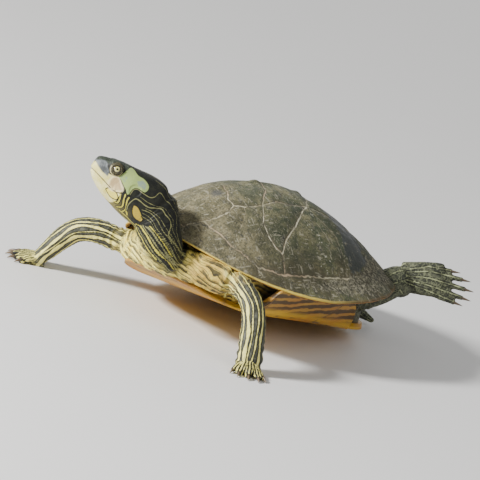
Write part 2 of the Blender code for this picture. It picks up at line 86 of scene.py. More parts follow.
def body_axes():
    pitch, roll = math.radians(BODY_PITCH), math.radians(BODY_ROLL)
    forward = np.array([0.0, -math.cos(pitch), math.sin(pitch)])
    level_up = np.array([0.0, math.sin(pitch), math.cos(pitch)])
    level_left = np.array([1.0, 0.0, 0.0])
    left = level_left * math.cos(roll) + level_up * math.sin(roll)
    up = level_up * math.cos(roll) - level_left * math.sin(roll)
    return np.array([forward, left, up])


BODY = body_axes()


def placed(flu):
    """World millimetres of points given along the body's axes."""
    return np.asarray(flu, float) @ BODY + np.array(BODY_ORIGIN)


def in_body(points):
    """Body coordinates of world points."""
    return (points - np.array(BODY_ORIGIN)) @ BODY.T


def turned(flu):
    return unit(np.asarray(flu, float) @ BODY)


HEAD_F, HEAD_U = turned(HEAD_FORWARD), turned(HEAD_UP)
HEAD_L = np.cross(HEAD_U, HEAD_F)
SNOUT = placed(NECK_TURN_FROM) + HEAD_F * HEAD_LENGTH


def in_head(back, left, up):
    return SNOUT - HEAD_F * back + HEAD_L * left + HEAD_U * up


def head_places(points):
    """Back, left and up on the head, of world points."""
    off = points - SNOUT
    return np.stack([-off @ HEAD_F, off @ HEAD_L, off @ HEAD_U], axis=-1)


def ease(low, high, x):
    s = np.clip((np.asarray(x, float) - low) / (high - low), 0.0, 1.0)
    return s * s * (3 - 2 * s)


def smooth_path(stations, between):
    """Catmull-Rom through rows of numbers, with this many steps from each row to the next."""
    rows = np.asarray(stations, float)
    ends = np.vstack([2 * rows[0] - rows[1], rows, 2 * rows[-1] - rows[-2]])
    out = []
    for i in range(len(rows) - 1):
        a, b, c, d = ends[i:i + 4]
        for t in np.arange(between) / between:
            out.append(0.5 * (2 * b + (c - a) * t + (2 * a - 5 * b + 4 * c - d) * t * t
                              + (3 * b - a - 3 * c + d) * t ** 3))
    out.append(rows[-1])
    return np.array(out)


# ---------------------------------------------------------------- limbs, as in the solids
NECK = (
    (62, 2, 25, 17, 12), (82, 4, 24, 21, 12.5), (97, 8, 25.5, 20, 12.5), (108, 13, 30, 18, 13),
    (114.5, 15.5, 38, 16.2, 14.4), (118, 13, 47, 15.6, 15.8), (120.5, 8, 56.5, 15.6, 17))
CHEST = (
    (70, -46, 19.5, 9, 10.5), (84, -34, 21.5, 9, 11), (95, -14, 21, 8, 9), (96.5, 10, 21, 8, 9),
    (91, 31, 23.5, 9, 11), (75, 47, 21, 10, 11))
# This one is the skin's own: it fills the hollow behind the left foreleg.
ARMPIT = (
    (86, 29, 19, 6, 8), (79, 34, 17, 6, 8.5), (70, 37.5, 15, 6.5, 8.5), (62, 38, 13.5, 6.5, 8.5))
FORELEG_LEFT = (
    (56, 26, 21, 13, 11), (65, 41, 22, 11, 10), (69.5, 52, 21.5, 8.8, 8.6), (70.5, 64, 17.8, 7.6, 7.2),
    (71, 75, 10.3, 8.0, 7.2), (73.5, 83, -0.9, 8.4, 7.0), (75.5, 88, -14.2, 8.8, 6.4),
    (77, 91.5, -26.5, 9.0, 5.2))
FORELEG_RIGHT = (
    (56, -26, 21, 13, 11), (66, -41, 22, 11, 10), (80, -51, 21, 9.2, 8.4), (93, -63, 23, 8.8, 8.4),
    (101.5, -72, 20, 8.4, 8.2), (107, -79, 11.5, 8.2, 7.6), (111, -84, 2.0, 8.2, 6.4),
    (114, -88, -4.8, 8.4, 5.2))
HINDLEG_LEFT = (
    (-48, 30, 22, 16, 13), (-66, 38, 25, 13.5, 11), (-81, 42, 30, 11.5, 9.5), (-91, 44.5, 36, 10.8, 9),
    (-96.5, 46, 38, 10.5, 8.8), (-99, 48, 33.5, 8.6, 7.4))
HINDLEG_RIGHT = (
    (-44, -30, 18, 15, 12), (-56, -47, 16, 13, 11), (-64, -62, 15, 11.5, 10), (-74, -70, 14, 9.5, 8.6),
    (-83, -75, 12.2, 8.6, 6.6), (-89, -79, 10.4, 8.8, 5.4))
TAIL = (
    (-74, 0, 17, 11, 9), (-90, 0, 14, 8.5, 7.5), (-101, 1, 11, 6.0, 5.6), (-113, 3, 6, 3.8, 3.8),
    (-124, 6, 2, 1.8, 1.8))
HEAD = (
    (-0.6, 7.0, -0.6, 3.2), (1.0, 8.4, -4.2, 5.8), (4.5, 10.0, -7.4, 7.8), (9.0, 11.4, -9.8, 9.8),
    (13.0, 13.0, -11.6, 11.4), (17.5, 14.0, -13.2, 12.8), (23.0, 14.8, -14.6, 14.4),
    (29.0, 15.8, -16.0, 15.8), (36.0, 17.2, -17.2, 16.6), (43.0, 17.8, -17.8, 16.6),
    (50.0, 17.0, -17.6, 15.8), (54.0, 14.0, -15.0, 13.0))
EYE_BACK, EYE_SIDE, EYE_UP = 13.4, 8.3, 6.6


# ---------------------------------------------------------------- places along a limb
class Axis:
    """The centre line of a limb or the neck, with a frame carried along it without twist.

    A place on the skin is how far along the line it lies, in millimetres, and the angle round it, in
    degrees: 0 faces the way 'up' faces at the line's start, and positive turns to the animal's left."""

    def __init__(self, points, up, radii):
        self.points = np.asarray(points, float)
        steps = np.linalg.norm(np.diff(self.points, axis=0), axis=1)
        self.along = np.concatenate([[0.0], np.cumsum(steps)])
        self.radii = np.asarray(radii, float)
        self.ways = np.gradient(self.points, self.along, axis=0)
        self.ways /= np.linalg.norm(self.ways, axis=1, keepdims=True)
        lifts, lift = [], np.asarray(up, float)
        for way in self.ways:
            lift = unit(lift - way * (lift @ way))
            lifts.append(lift)
        self.lifts = np.array(lifts)
        self.sides = np.cross(self.lifts, -self.ways)

    def places(self, points):
        """Along, angle, distance from the line, and distance as a share of the radius there."""
        found = np.empty((len(points), 4))
        for low in range(0, len(points), 20000):
            block = points[low:low + 20000]
            near = ((block[:, None, :] - self.points[None]) ** 2).sum(axis=2).argmin(axis=1)
            off = block - self.points[near]
            ahead = (off * self.ways[near]).sum(axis=1)
            over = (off * self.lifts[near]).sum(axis=1)
            side = (off * self.sides[near]).sum(axis=1)
            reach = np.hypot(over, side)
            past = np.maximum(np.linalg.norm(off, axis=1) - self.radii[near], 0)
            found[low:low + 20000, 0] = self.along[near] + ahead
            found[low:low + 20000, 1] = np.degrees(np.arctan2(side, over))
            found[low:low + 20000, 2] = reach
            found[low:low + 20000, 3] = 1 + past / self.radii[near]
        return found


def limb_axis(rows, up):
    path = smooth_path(rows, 10)
    return Axis(placed(path[:, :3]), turned(up), path[:, 3:5].mean(axis=1))


def head_and_neck():
    """From the snout back along the head and down the neck to the shoulders."""
    head = smooth_path([row for row in HEAD if row[0] <= 44], 6)
    spine = [in_head(back, 0, (top + bottom) / 2 * 0.6) for back, top, bottom, _ in head]
    neck = smooth_path(NECK, 10)[::-1]
    points = np.vstack([spine, placed(neck[4:, :3])])
    radii = np.concatenate([(head[:, 1] - head[:, 2]) / 2, neck[4:, 3:5].mean(axis=1)])
    blend = points.copy()
    for _ in range(12):
        blend[1:-1] = (blend[:-2] + blend[1:-1] * 2 + blend[2:]) / 4
    return Axis(blend, HEAD_U, radii)


def polyline_distance(x, y, line):
    """Distance from each place to a line of points; a third number at each point is the line's half-width."""
    best = np.full(np.shape(x), 1e3)
    rows = np.array([(*row, 0.0)[:3] for row in line], float)
    for (ax, ay, aw), (bx, by, bw) in zip(rows, rows[1:]):
        dx, dy = bx - ax, by - ay
        share = np.clip(((x - ax) * dx + (y - ay) * dy) / max(dx * dx + dy * dy, 1e-9), 0, 1)
        gap = np.hypot(x - ax - share * dx, y - ay - share * dy) - (aw + (bw - aw) * share)
        best = np.minimum(best, gap)
    return best


def patch_distance(x, y, corners):
    """Distance to the edge of a closed patch, negative inside it."""
    edge = polyline_distance(x, y, [*corners, corners[0]])
    inside = np.zeros(np.shape(x), bool)
    for (ax, ay), (bx, by) in zip(corners, [*corners[1:], corners[0]]):
        crosses = (ay > y) != (by > y)
        inside ^= crosses & (x < (bx - ax) * (y - ay) / (by - ay if by != ay else 1e-9) + ax)
    return np.where(inside, -edge, edge)


def ripple(points, length, seed):
    """Smooth noise from -1 to 1, made of a few sine waves about this long."""
    chance, waves = np.random.RandomState(seed), 7
    total = np.zeros(len(points))
    for _ in range(waves):
        way = unit(chance.normal(size=points.shape[1]))
        total += np.sin(points @ way * TURN / (length * chance.uniform(0.7, 1.5)) + chance.uniform(0, 6.3))
    return total / (0.6 * waves)


# ---------------------------------------------------------------- meshes
def oval(sides, power=2.0):
    angle = TURN * np.arange(sides) / sides
    c, s = np.cos(angle), np.sin(angle)
    return np.sign(c) * np.abs(c) ** (2 / power), np.sign(s) * np.abs(s) ** (2 / power)


def mesh_object(name, points, faces, smooth=True):
    """An object from world millimetres, its faces turned outwards."""
    mesh = bpy.data.meshes.new(name)
    mesh.from_pydata([tuple(p) for p in np.asarray(points) * MM], [], faces)
    mesh.polygons.foreach_set("use_smooth", np.full(len(mesh.polygons), smooth))
    made = bpy.data.objects.new(name, mesh)
    bpy.context.scene.collection.objects.link(made)
    if smooth:
        work = bmesh.new()
        work.from_mesh(mesh)
        bmesh.ops.recalc_face_normals(work, faces=work.faces)
        work.to_mesh(mesh)
        work.free()
    return made


def vectors_of(obj, kind):
    found = np.empty(len(obj.data.vertices) * 3, np.float32)
    obj.data.vertices.foreach_get(kind, found)
    return found.reshape(-1, 3).astype(float)


def vertices_of(obj):
    return vectors_of(obj, "co") / MM


def set_vertices(obj, points):
    obj.data.vertices.foreach_set("co", (points * MM).astype(np.float32).ravel())
    obj.data.update()


def give(obj, **fields):
    """Store one number for each vertex under each name, for the material to read."""
    for name, values in fields.items():
        attribute = obj.data.attributes.new(name, "FLOAT", "POINT")
        attribute.data.foreach_set("value", np.asarray(values, np.float32))


def relaxed(obj, points, rounds, share=0.5, where=None):
    """Points drawn towards the mean of their neighbours, all over or by a weight for each point."""
    edges = np.empty(len(obj.data.edges) * 2, np.int32)
    obj.data.edges.foreach_get("vertices", edges)
    a, b = edges.reshape(-1, 2).T
    count = np.bincount(np.concatenate([a, b]), minlength=len(points))[:, None]
    weight = share if where is None else share * where[:, None]
    for _ in range(rounds):
        total = np.empty_like(points)
        for axis in range(3):
            total[:, axis] = (np.bincount(a, points[b, axis], len(points))
                              + np.bincount(b, points[a, axis], len(points)))
        points = points + (total / np.maximum(count, 1) - points) * weight
    return points


class Soup:
    """Closed lofts gathered in one mesh, overlapping as they will."""

    def __init__(self):
        self.points, self.faces = [], []

    def loft(self, rings, ends=None):
        """Join rings of points in a closed surface, fanned out at each end from a middle point."""
        start, sides = len(self.points), len(rings[0])
        self.points += [p for ring in rings for p in ring]
        for i in range(len(rings) - 1):
            for j in range(sides):
                k = (j + 1) % sides
                low, high = start + i * sides, start + (i + 1) * sides
                self.faces.append((low + j, low + k, high + k, high + j))
        for end, ring in enumerate((0, len(rings) - 1)):
            self.points.append(np.mean(rings[ring], axis=0) if ends is None else ends[end])
            base, top = start + ring * sides, len(self.points) - 1
            self.faces += [(base + j, base + (j + 1) % sides, top) for j in range(sides)]

    def tube(self, stations, hint, sides=28, power=2.0):
        """A blunt loft along a path of world points, each with a half-width and a half-thickness."""
        rows = smooth_path(stations, 5)
        path, size = rows[:, :3], np.maximum(rows[:, 3:5], 0.25)
        c, s = oval(sides, power)
        rings = []
        for p, (wide, thick), way in zip(path, size, np.gradient(path, axis=0)):
            way = unit(way)
            side = unit(np.cross(way, hint))
            rings.append(p + np.outer(c * wide, side) + np.outer(s * thick, np.cross(side, way)))
        last, swell = rings[-1], float(size[-1].min())
        for ahead, share in ((0.45, 0.75), (0.72, 0.35)):
            rings.append(path[-1] + way * swell * ahead + (last - path[-1]) * share)
        self.loft(rings)

    def ball(self, centre, axes, sizes, rings=20):
        c, s = oval(28)
        rows = []
        for i in range(1, rings):
            tall = math.pi * i / rings
            row = np.outer(c * math.sin(tall) * sizes[0], axes[0])
            row = row + np.outer(s * math.sin(tall) * sizes[1], axes[1])
            rows.append(centre + row + axes[2] * sizes[2] * math.cos(tall))
        self.loft(rows)

    def object(self, name):
        return mesh_object(name, self.points, self.faces)


def closed_piece(name, points, columns, ends):
    soup = Soup()
    soup.loft(points.reshape(-1, columns, 3), ends)
    return soup.object(name)


# ---------------------------------------------------------------- shell, as in the solids
def outline(angle):
    """Rim of the carapace, F and L, by angle from the front; also how far back, 0 to 1."""
    c, s = np.cos(angle), np.sin(angle)
    power = np.where(c > 0, 3.0, 1.9)
    along = -np.sign(c) * np.abs(c) ** (2 / power)
    back = np.clip((1 + along) / 2, 0, 1) ** (math.log(WIDEST_AT) / math.log(0.5))
    wide = SHELL_WIDTH / 2 * np.abs(s) ** (2 / power)
    return SHELL_LENGTH * (0.5 - back), np.sign(s) * wide, back


def rim_height(back):
    ahead, behind = np.maximum(0.5 - back, 0) / 0.5, np.maximum(back - 0.5, 0) / 0.5
    return RIM_SIDE + RIM_FRONT_RISE * ahead ** 2.6 + RIM_REAR_RISE * behind ** 1.2


def dome(out, angle):
    """Share of the dome's rise at a place this far out from the apex, 0 to 1."""
    end_on, shoulder, front = np.cos(angle) ** 2, np.sin(2 * angle) ** 2, np.cos(angle) > 0
    bend = 0.877 + np.where(front, 0.054, 0.029) * end_on
    power = 1.83 + np.where(front, 0.45, -0.15) * end_on + 0.09 * shoulder
    lip = LIP + np.where(front, 0.07, 0.05) * end_on
    inner = lip + (1 - lip) * (1 - np.minimum(out / bend, 1) ** power)
    return np.where(out < bend, inner, lip * (1 - out) / (1 - bend))


def keel(forward, left):
    """Height of the low keel, with a knob at the rear of each of the first vertebral scutes."""
    knobs = sum(np.exp(-((forward - at) / 5.0) ** 2) for at in (54.0, 21.0, -23.0))
    return (0.8 + 1.6 * knobs) * np.exp(-(left / 3.5) ** 2)


def carapace_points(out, angle):
    f, l, back = outline(angle)
    rim = rim_height(back)
    forward, left = APEX_F + (f - APEX_F) * out, l * out
    up = rim + (SHELL_HEIGHT - rim) * dome(out, angle) + keel(forward, left)
    return np.stack([forward, left, up], axis=-1)


def carapace_normals(out, angle):
    step = 1e-3
    out = np.maximum(out, 0.02)
    radial = carapace_points(out + step, angle) - carapace_points(out - step, angle)
    around = carapace_points(out, angle + step) - carapace_points(out, angle - step)
    normal = np.cross(around, radial)
    normal *= np.sign(normal[..., 2:])
    return normal / np.maximum(np.linalg.norm(normal, axis=-1, keepdims=True), 1e-9)


# Seams between the scutes on the left half, F and L; the right half mirrors them.
SCUTES_INNER = (
    (99, 6), (96, 17), (83.7, 23), (75.7, 25.1), (66.3, 25.4), (58.5, 22.3), (51.4, 25.6), (43.6, 27),
    (36.2, 27.3), (20.4, 24.3), (7.6, 24.8), (-9.3, 24.6), (-26, 28), (-43, 31.5), (-58, 27), (-66, 31),
    (-71.5, 39.5))
SCUTES_OUTER = (
    (83.7, 23), (82, 29.6), (73.7, 43.9), (58.1, 58.7), (39, 64.5), (22.8, 65.9), (-6.2, 66.6),
    (-22.9, 67.2), (-38.9, 64.5), (-52.4, 58.9), (-62.7, 50), (-74, 36), (-84, 20), (-88, 0))
SEAMS = (SCUTES_INNER, SCUTES_OUTER,
         ((105, 5), (99, 6), (98, 0)),
         ((50.5, 0), (53.3, 8.2), (58.6, 15), (58.5, 22.3)),
         ((16, 0), (20.1, 10.1), (24, 15), (30, 20), (36.2, 27.3)),
         ((-28, 0), (-23, 10), (-17, 15.5), (-9.3, 24.6)),
         ((-66, 0), (-62, 14), (-58, 27)), ((34.6, 55.3), (36.5, 64.3)))
# Two of the seams meet in a pale V, where the horn has cracked and healed.
CRACKS = (
    ((36.2, 27.3), (43.1, 38.7), (42.2, 45.9), (38.9, 52.6), (34.6, 55.3)),
    ((-9.3, 24.6), (-3.1, 28), (0.2, 30.4), (5.3, 34.5), (14.3, 41.3), (19.1, 43.8), (27.3, 48.8),
     (34.6, 55.3)))
FAINT_SEAMS = (((51.4, 25.6), (58.4, 35.3), (67.1, 40.1), (75, 47.2)),
               ((-11, 27), (-13.5, 32.6), (-19, 37.5), (-24, 44.6), (-24, 56), (-22.9, 67.2)),
               ((-43, 31.5), (-50, 45), (-50, 59)), ((-10, 37), (-13, 43), (-18, 48)),
               ((82, 28), (94, 30)), ((73.7, 43.9), (79.9, 49.5)), ((58, 58.7), (61, 64.5)),
               ((39, 64.5), (39.7, 72.3)), ((20, 65.9), (18.4, 76.9)), ((-1, 66.4), (-2.7, 80)),
               ((-22.5, 67), (-27, 80.8)), ((-40, 64), (-51.3, 76.3)), ((-56, 56), (-72.8, 64.7)),
               ((-69, 43), (-91, 45)), ((-84, 20), (-101.5, 22.8)), ((-88, 0), (-105, 0)))


# On the left side of the shell, F, L and half-width: a wet streak, dried mud, and scuffs with pale specks.
WET_STREAK = ((-28, 14, 3), (-37, 27, 8), (-42, 38, 12), (-41, 48, 12), (-35, 56, 9), (-30, 62, 4))
MUDDY_RIM = (
    (20, 71, 3), (-4, 71, 4), (-20, 71, 5), (-35, 70, 7), (-52, 64, 9), (-66, 53, 10), (-80, 42, 9),
    (-92, 26, 8))
SCUFFS = (((-2, 20, 7), (-9, 28, 6)), ((-4, 38, 4), (-6, 46, 5), (-2, 60, 6)), ((-30, 30, 6), (-26, 42, 3)),
          ((30, 50, 5), (36, 57, 4)), ((-10, 60, 3), (-26, 62, 5)))


def seam_distance(forward, left, lines):
    return np.min([polyline_distance(forward, np.abs(left), line) for line in lines], axis=0)


CARAPACE_COLUMNS, CARAPACE_ROWS = 760, 200


def carapace_piece():
    """The upper shell: scutes with their seams, growth rings and keel, and a rim toothed behind."""
    columns = CARAPACE_COLUMNS
    angle = (TURN * (np.arange(columns) + 0.5) / columns)[None, :]
    out = (1 - (1 - np.linspace(0.012, 1, CARAPACE_ROWS)) ** 1.15)[:, None]
    base, normal = carapace_points(out, angle), carapace_normals(out, angle)

    def waver(length, seed):
        return ripple(base.reshape(-1, 3), length, seed).reshape(base.shape[:2])

    wobble = waver(9, 5)
    forward = base[..., 0] + wobble * 0.45 + waver(4.2, 6) * 0.32 + waver(2.1, 7) * 0.16
    left = base[..., 1] + waver(3.4, 10) * 0.35
    seam = seam_distance(forward, left, SEAMS + CRACKS)
    faint = seam_distance(forward, left, FAINT_SEAMS)
    nearest = np.minimum(seam, faint)
    away = np.minimum(nearest, 14)
    rings = np.sin(away * TURN / 1.7 + wobble * 1.2) * ease(0.4, 2, away) * (1 - 0.7 * ease(7, 14, away))
    height = (0.30 * ease(0, 6, nearest)
              - 0.22 * np.exp(-(seam / 0.8) ** 2) - 0.14 * np.exp(-(faint / 0.8) ** 2)
              + 0.02 * rings + 0.16 * waver(32, 8) + 0.07 * waver(5, 9) - 0.2)
    height *= 1 - 0.6 * ease(0.93, 1.0, out)
    top = base + normal * height[..., None]
    tooth = (0.5 - 1.6 * np.exp(-(faint / 3.0) ** 2)) * ease(-20, -80, base[..., 0]) * ease(0.88, 1.0, out)
    outwards = unit_rows(base[..., :2] - np.array([APEX_F, 0.0]))
    top[..., :2] += outwards * tooth[..., None]

    # Rows of the grid with their fields: the top, round the rim's edge, and back underneath.
    layers = [(top, np.broadcast_to(out, seam.shape), seam, faint, seam * 0)]
    for turn in (0.3, 0.7, 1.0):
        row = top[-1] - normal[-1] * RIM_THICK * turn
        row[:, :2] += outwards[-1] * 0.5 * math.sin(turn * math.pi)
        layers.append((row[None], np.ones((1, columns)), seam[-1:], faint[-1:], np.full((1, columns), turn)))
    below = np.arange(len(out) - 4, 0, -4)
    thick = SHELL_THICK + (RIM_THICK - SHELL_THICK) * np.maximum(0, (out[below] - 0.8) / 0.2)
    under = top[below] - normal[below] * thick[..., None]
    layers.append((under, np.broadcast_to(out[below], seam[below].shape), seam[below], faint[below],
                   np.ones(seam[below].shape)))
    grid, *fields = (np.concatenate(parts) for parts in zip(*layers))
    peaks = placed([carapace_points(0.0, 0.0), carapace_points(0.0, 0.0) - [0, 0, SHELL_THICK]])
    made = closed_piece("carapace_plates", placed(grid.reshape(-1, 3)), columns, peaks)
    at_peaks = {"out": (0, 0), "seam": (20, 20), "faint": (20, 20), "under": (0, 1)}
    give(made, **{name: np.append(field, ends) for (name, ends), field in zip(at_peaks.items(), fields)})
    forward, left = np.append(grid[..., 0], [APEX_F, APEX_F]), np.append(grid[..., 1], [0, 0])
    scuffs = np.min([polyline_distance(forward, left, line) for line in SCUFFS], axis=0)
    give(made, forward=forward, left=left, crack=np.minimum(seam_distance(forward, left, CRACKS), 9),
         scuffed=ease(3, -4, scuffs), wet=ease(2, -5, polyline_distance(forward, left, WET_STREAK)),
         mud=ease(3, -5, polyline_distance(forward, left, MUDDY_RIM)))
    return made


def unit_rows(rows):
    return rows / np.maximum(np.linalg.norm(rows, axis=-1, keepdims=True), 1e-9)


def bridge_share(forward):
    return (ease(BRIDGE_FRONT + 8, BRIDGE_FRONT - 4, forward)
            * ease(BRIDGE_REAR - 24, BRIDGE_REAR + 10, forward))


def lobe_width(forward):
    front = 1 - np.clip((forward - 60) / (PLASTRON_FRONT + 3.5 - 60), 0, 1) ** 2.2
    rear = 1 - np.clip((-54 - forward) / (-54 - PLASTRON_REAR + 4), 0, 1) ** 2.4
    return np.minimum(LOBE_FRONT * front ** 0.5, LOBE_REAR * rear ** 0.5)


def curl(forward):
    """How far the front of the plastron curves up."""
    return GULAR_RISE * (np.maximum(0.0, forward - 42) / (PLASTRON_FRONT - 42)) ** 1.5


PLASTRON_SEAMS = (((110, 0), (-110, 0)), ((86, 0), (91, 16), (93, 26)), ((66, 0), (70, 22), (66, 44)),
                  ((34, 0), (36, 30), (40, 50), (44, 72)), ((-14, 0), (-12, 30), (-16, 50), (-20, 72)),
                  ((-52, 0), (-46, 22), (-50, 46)), ((48, 47), (20, 52), (-10, 52), (-40, 48)))


def plastron_piece():
    """The lower shell: two lobes, the bridges that rise to the carapace, and their seams."""
    reach, columns = 74.0, 81
    forward = np.linspace(PLASTRON_FRONT, PLASTRON_REAR, 190)[:, None]
    share = np.sin(np.linspace(-math.pi / 2, math.pi / 2, columns))[None, :]
    wing = bridge_share(forward)
    left = (lobe_width(forward) * (1 - wing) + reach * wing) * share
    rise = wing * 22.0 * (np.maximum(0.0, np.abs(left) - 46) / (reach - 46)) ** 1.5
    forward = forward + 0 * left
    height = rise + curl(forward)
    seam = seam_distance(forward, left, PLASTRON_SEAMS)
    under = np.stack([forward, left, height + 0.35 * np.exp(-(seam / 0.6) ** 2)], axis=-1)
    slope = np.gradient(np.stack([forward, left, height], axis=-1), axis=1)
    normal = unit_rows(np.cross(np.broadcast_to([1.0, 0, 0], slope.shape), slope))
    edge = 1 - 0.45 * (np.abs(share) > 0.985)
    over = under + normal * (PLASTRON_THICK * edge)[..., None]
    rows = np.concatenate([under, over[:, ::-1]], axis=1)
    points, ring = placed(rows.reshape(-1, 3)), rows.shape[1]
    points[:, 2] = np.maximum(points[:, 2], 0.0)
    ends = [points[:ring].mean(axis=0), points[-ring:].mean(axis=0)]
    made = closed_piece("plastron_plates", points, ring, ends)
    flat = np.vstack([rows.reshape(-1, 3), rows[0].mean(axis=0), rows[-1].mean(axis=0)])
    give(made, seam=np.append(np.concatenate([seam, seam[:, ::-1]], axis=1), [9, 9]), forward=flat[:, 0],
         rise=flat[:, 2])
    return made


# ---------------------------------------------------------------- skin
TOES = {"fore": ((-30, 11.0), (-15, 14.0), (0, 15.0), (15, 14.0), (31, 10.5)),
        "hind": ((-27, 24.0), (-12, 29.0), (3, 30.0), (18, 27.0), (35, 19.0))}
PALM = {"fore": (12.0, 9.2, 4.0), "hind": (25.0, 11.5, 4.0)}
KNUCKLES = ((2.5, 2.4), (2.2, 2.0), (2.35, 2.15), (1.95, 1.8), (1.75, 1.6))   # half sizes along a toe
CLAW_LENGTH = {"fore": 6.5, "hind": 7.5}
LEVEL = np.array([1.0, 1.0, 0.0])
UP = np.array([0.0, 0.0, 1.0])
FEET = {"fore_l": ("fore", placed((77, 91.5, -28.6)), turned((0.62, 0.74, 0)) * LEVEL, UP, 0.0, 0.8),
        "fore_r": ("fore", placed((114, -88, -6.65)), turned((0.72, -0.69, 0)) * LEVEL, UP, 0.0, 1.0),
        "hind_l": ("hind", placed((-100.5, 47.5, 42.3)), turned((-0.684, 0.707, 0.16)),
                   turned((0.728, 0.677, 0.106)), -11.0, 0.2),
        "hind_r": ("hind", placed((-89, -79, 9.5)), turned((-0.60, -0.80, 0)) * LEVEL, UP, 0.0, 1.0)}


class Foot:
    """Where a foot's palm, toes and claws lie, as in the solids."""

    def __init__(self, kind, root, forward, face, lean, splay):
        self.kind, self.forward = kind, unit(forward)
        self.across = unit(np.cross(face, self.forward))
        self.face = np.cross(self.forward, self.across)
        self.long, self.wide, self.thick = PALM[kind]
        self.start = root - self.forward * 4.0
        self.toes = []
        for degrees, length in TOES[kind]:
            turn, spread = math.radians(degrees * splay + lean), math.radians(degrees) * 2.2
            way = self.forward * math.cos(turn) + self.across * math.sin(turn)
            heel = (self.start + self.forward * self.long * 0.62
                    + self.across * self.wide * 0.74 * math.sin(spread))
            line = [heel + way * length * g - self.face * (1.6 * g * g) for g in np.linspace(0.15, 1, 5)]
            self.toes.append((way, np.array(line)))

    def fill(self, soup):
        f, s, long, wide, thick = self.forward, self.start, self.long, self.wide, self.thick
        soup.tube([(*s, wide * 0.86, thick * 1.1), (*(s + f * long * 0.55), wide, thick),
                   (*(s + f * long), wide * 1.05, thick * 0.85), (*(s + f * (long + 4)), wide, thick * 0.6)],
                  self.face, power=2.3)
        for _, line in self.toes:
            soup.tube([(*p, *size) for p, size in zip(line, KNUCKLES)], self.face, sides=18)
        for (_, first), (_, second) in zip(self.toes, self.toes[1:]):
            self.web(soup, first[:4], second[:4])

    def web(self, soup, first, second):
        rings = []
        for i, (a, b) in enumerate(zip(first, second)):
            share = np.linspace(0, 1, 7)[:, None]
            keep = 1 - 0.22 * np.sin(math.pi * share) * i / 3
            line = ((first[0] + (a - first[0]) * keep) * (1 - share)
                    + (second[0] + (b - second[0]) * keep) * share)
            normal = unit(np.cross(first[-1] - first[0], second[-1] - first[0]))
            rings.append(np.vstack([line + normal * 0.75, line[::-1] - normal * 0.75]))
        soup.loft(rings)


def head_rings():
    c, s = oval(64, 2.35)
    rings = []
    for back, top, bottom, wide in smooth_path(HEAD, 6):
        middle, half = (top + bottom) / 2, (top - bottom) / 2
        narrow = 1 - 0.16 * np.clip(s, 0, 1) ** 2
        rings.append([in_head(back, wide * a * n, middle + half * b) for a, b, n in zip(c, s, narrow)])
    return rings


def trunk_rings():
    """The flesh inside the shell. It reaches into both plates, so that no gap shows at their edges."""
    angle = TURN * (np.arange(72) + 0.5) / 72
    rows = []
    for out in (0.86, 0.80, 0.72, 0.62, 0.50, 0.36, 0.20):
        rows.append(carapace_points(out, angle) - carapace_normals(out, angle) * 2.0)
    f, l = rows[0][:, 0], rows[0][:, 1]
    forward = np.clip(f, PLASTRON_REAR + 6, PLASTRON_FRONT - 5)
    left = np.sign(l) * np.minimum(np.abs(l), lobe_width(forward) - 3)
    floor_row = np.stack([forward, left, curl(forward) + 2.0], axis=-1)
    return [placed(row) for row in [floor_row, 0.5 * (floor_row + rows[0]) - [0, 0, 1.5]] + rows]


def remeshed(obj, voxel):
    change = obj.modifiers.new("remesh", "REMESH")
    change.mode = "VOXEL"
    change.voxel_size = voxel * MM
    change.use_smooth_shade = True
    graph = bpy.context.evaluated_depsgraph_get()
    mesh = bpy.data.meshes.new_from_object(obj.evaluated_get(graph))
    obj.modifiers.clear()
    old, obj.data = obj.data, mesh
    bpy.data.meshes.remove(old)


def refined(obj, near):
    """Halve the edges of the faces where near(points) is true."""
    chosen = near(vertices_of(obj))
    work = bmesh.new()
    work.from_mesh(obj.data)
    work.verts.ensure_lookup_table()
    for vertex, pick in zip(work.verts, chosen):
        vertex.select = bool(pick)
    edges = [edge for edge in work.edges if edge.verts[0].select and edge.verts[1].select]
    bmesh.ops.subdivide_edges(work, edges=edges, cuts=1, use_grid_fill=True)
    work.to_mesh(obj.data)
    work.free()
    obj.data.polygons.foreach_set("use_smooth", np.ones(len(obj.data.polygons), bool))


def eye_axes(side):
    """Centre of an eye, and its frame: towards the snout, up, and outwards."""
    out = unit(HEAD_L * side + HEAD_F * 0.10 + HEAD_U * 0.12)
    ahead = unit(HEAD_F - out * (HEAD_F @ out))
    return in_head(EYE_BACK, EYE_SIDE * side, EYE_UP), ahead, np.cross(out, ahead) * side, out


LID_LONG, LID_TALL = 44.0, 37.0     # half the lids' opening, in degrees at the eye's centre


def with_lids(points):
    """Skin drawn over each eyeball, thick at the lids' edges, and tucked in behind them."""
    for side in (1, -1):
        centre, ahead, over, out = eye_axes(side)
        off = points - centre
        near = np.linalg.norm(off, axis=1) < 14
        v = off[near]
        x, y, h = v @ ahead, v @ over, v @ out
        reach = np.hypot(x, y)
        tilt = np.degrees(np.arctan2(reach, h))
        c, s = np.abs(x) / np.maximum(reach, 1e-6), np.abs(y) / np.maximum(reach, 1e-6)
        opening = ((c / LID_LONG) ** 1.7 + (s / LID_TALL) ** 1.7) ** (-1 / 1.7)
        lid = EYE_RADIUS + 0.45 + 0.30 * np.exp(-((tilt - opening - 4) / 5.0) ** 2)
        lid += 0.10 * np.sin((tilt - opening) * 0.42) * ease(4, 12, tilt - opening)
        depth = lid - (lid - EYE_RADIUS + 0.9) * ease(opening, opening - 8, tilt)
        whole = v / np.maximum(np.linalg.norm(v, axis=1, keepdims=True), 1e-6) * depth[:, None]
        weight = (1 - ease(56, 92, tilt))[:, None]
        moved = v * (1 - weight) + whole * weight
        crease = 0.35 * np.exp(-((reach - 6.0) / 0.55) ** 2) * (tilt < 120)
        moved -= out * crease[:, None]
        points[near] = centre + moved
    return points


MOUTH = ((-2, -1.6), (4, -3.0), (10, -4.4), (17, -6.2), (21.5, -6.6), (24.5, -5.2))


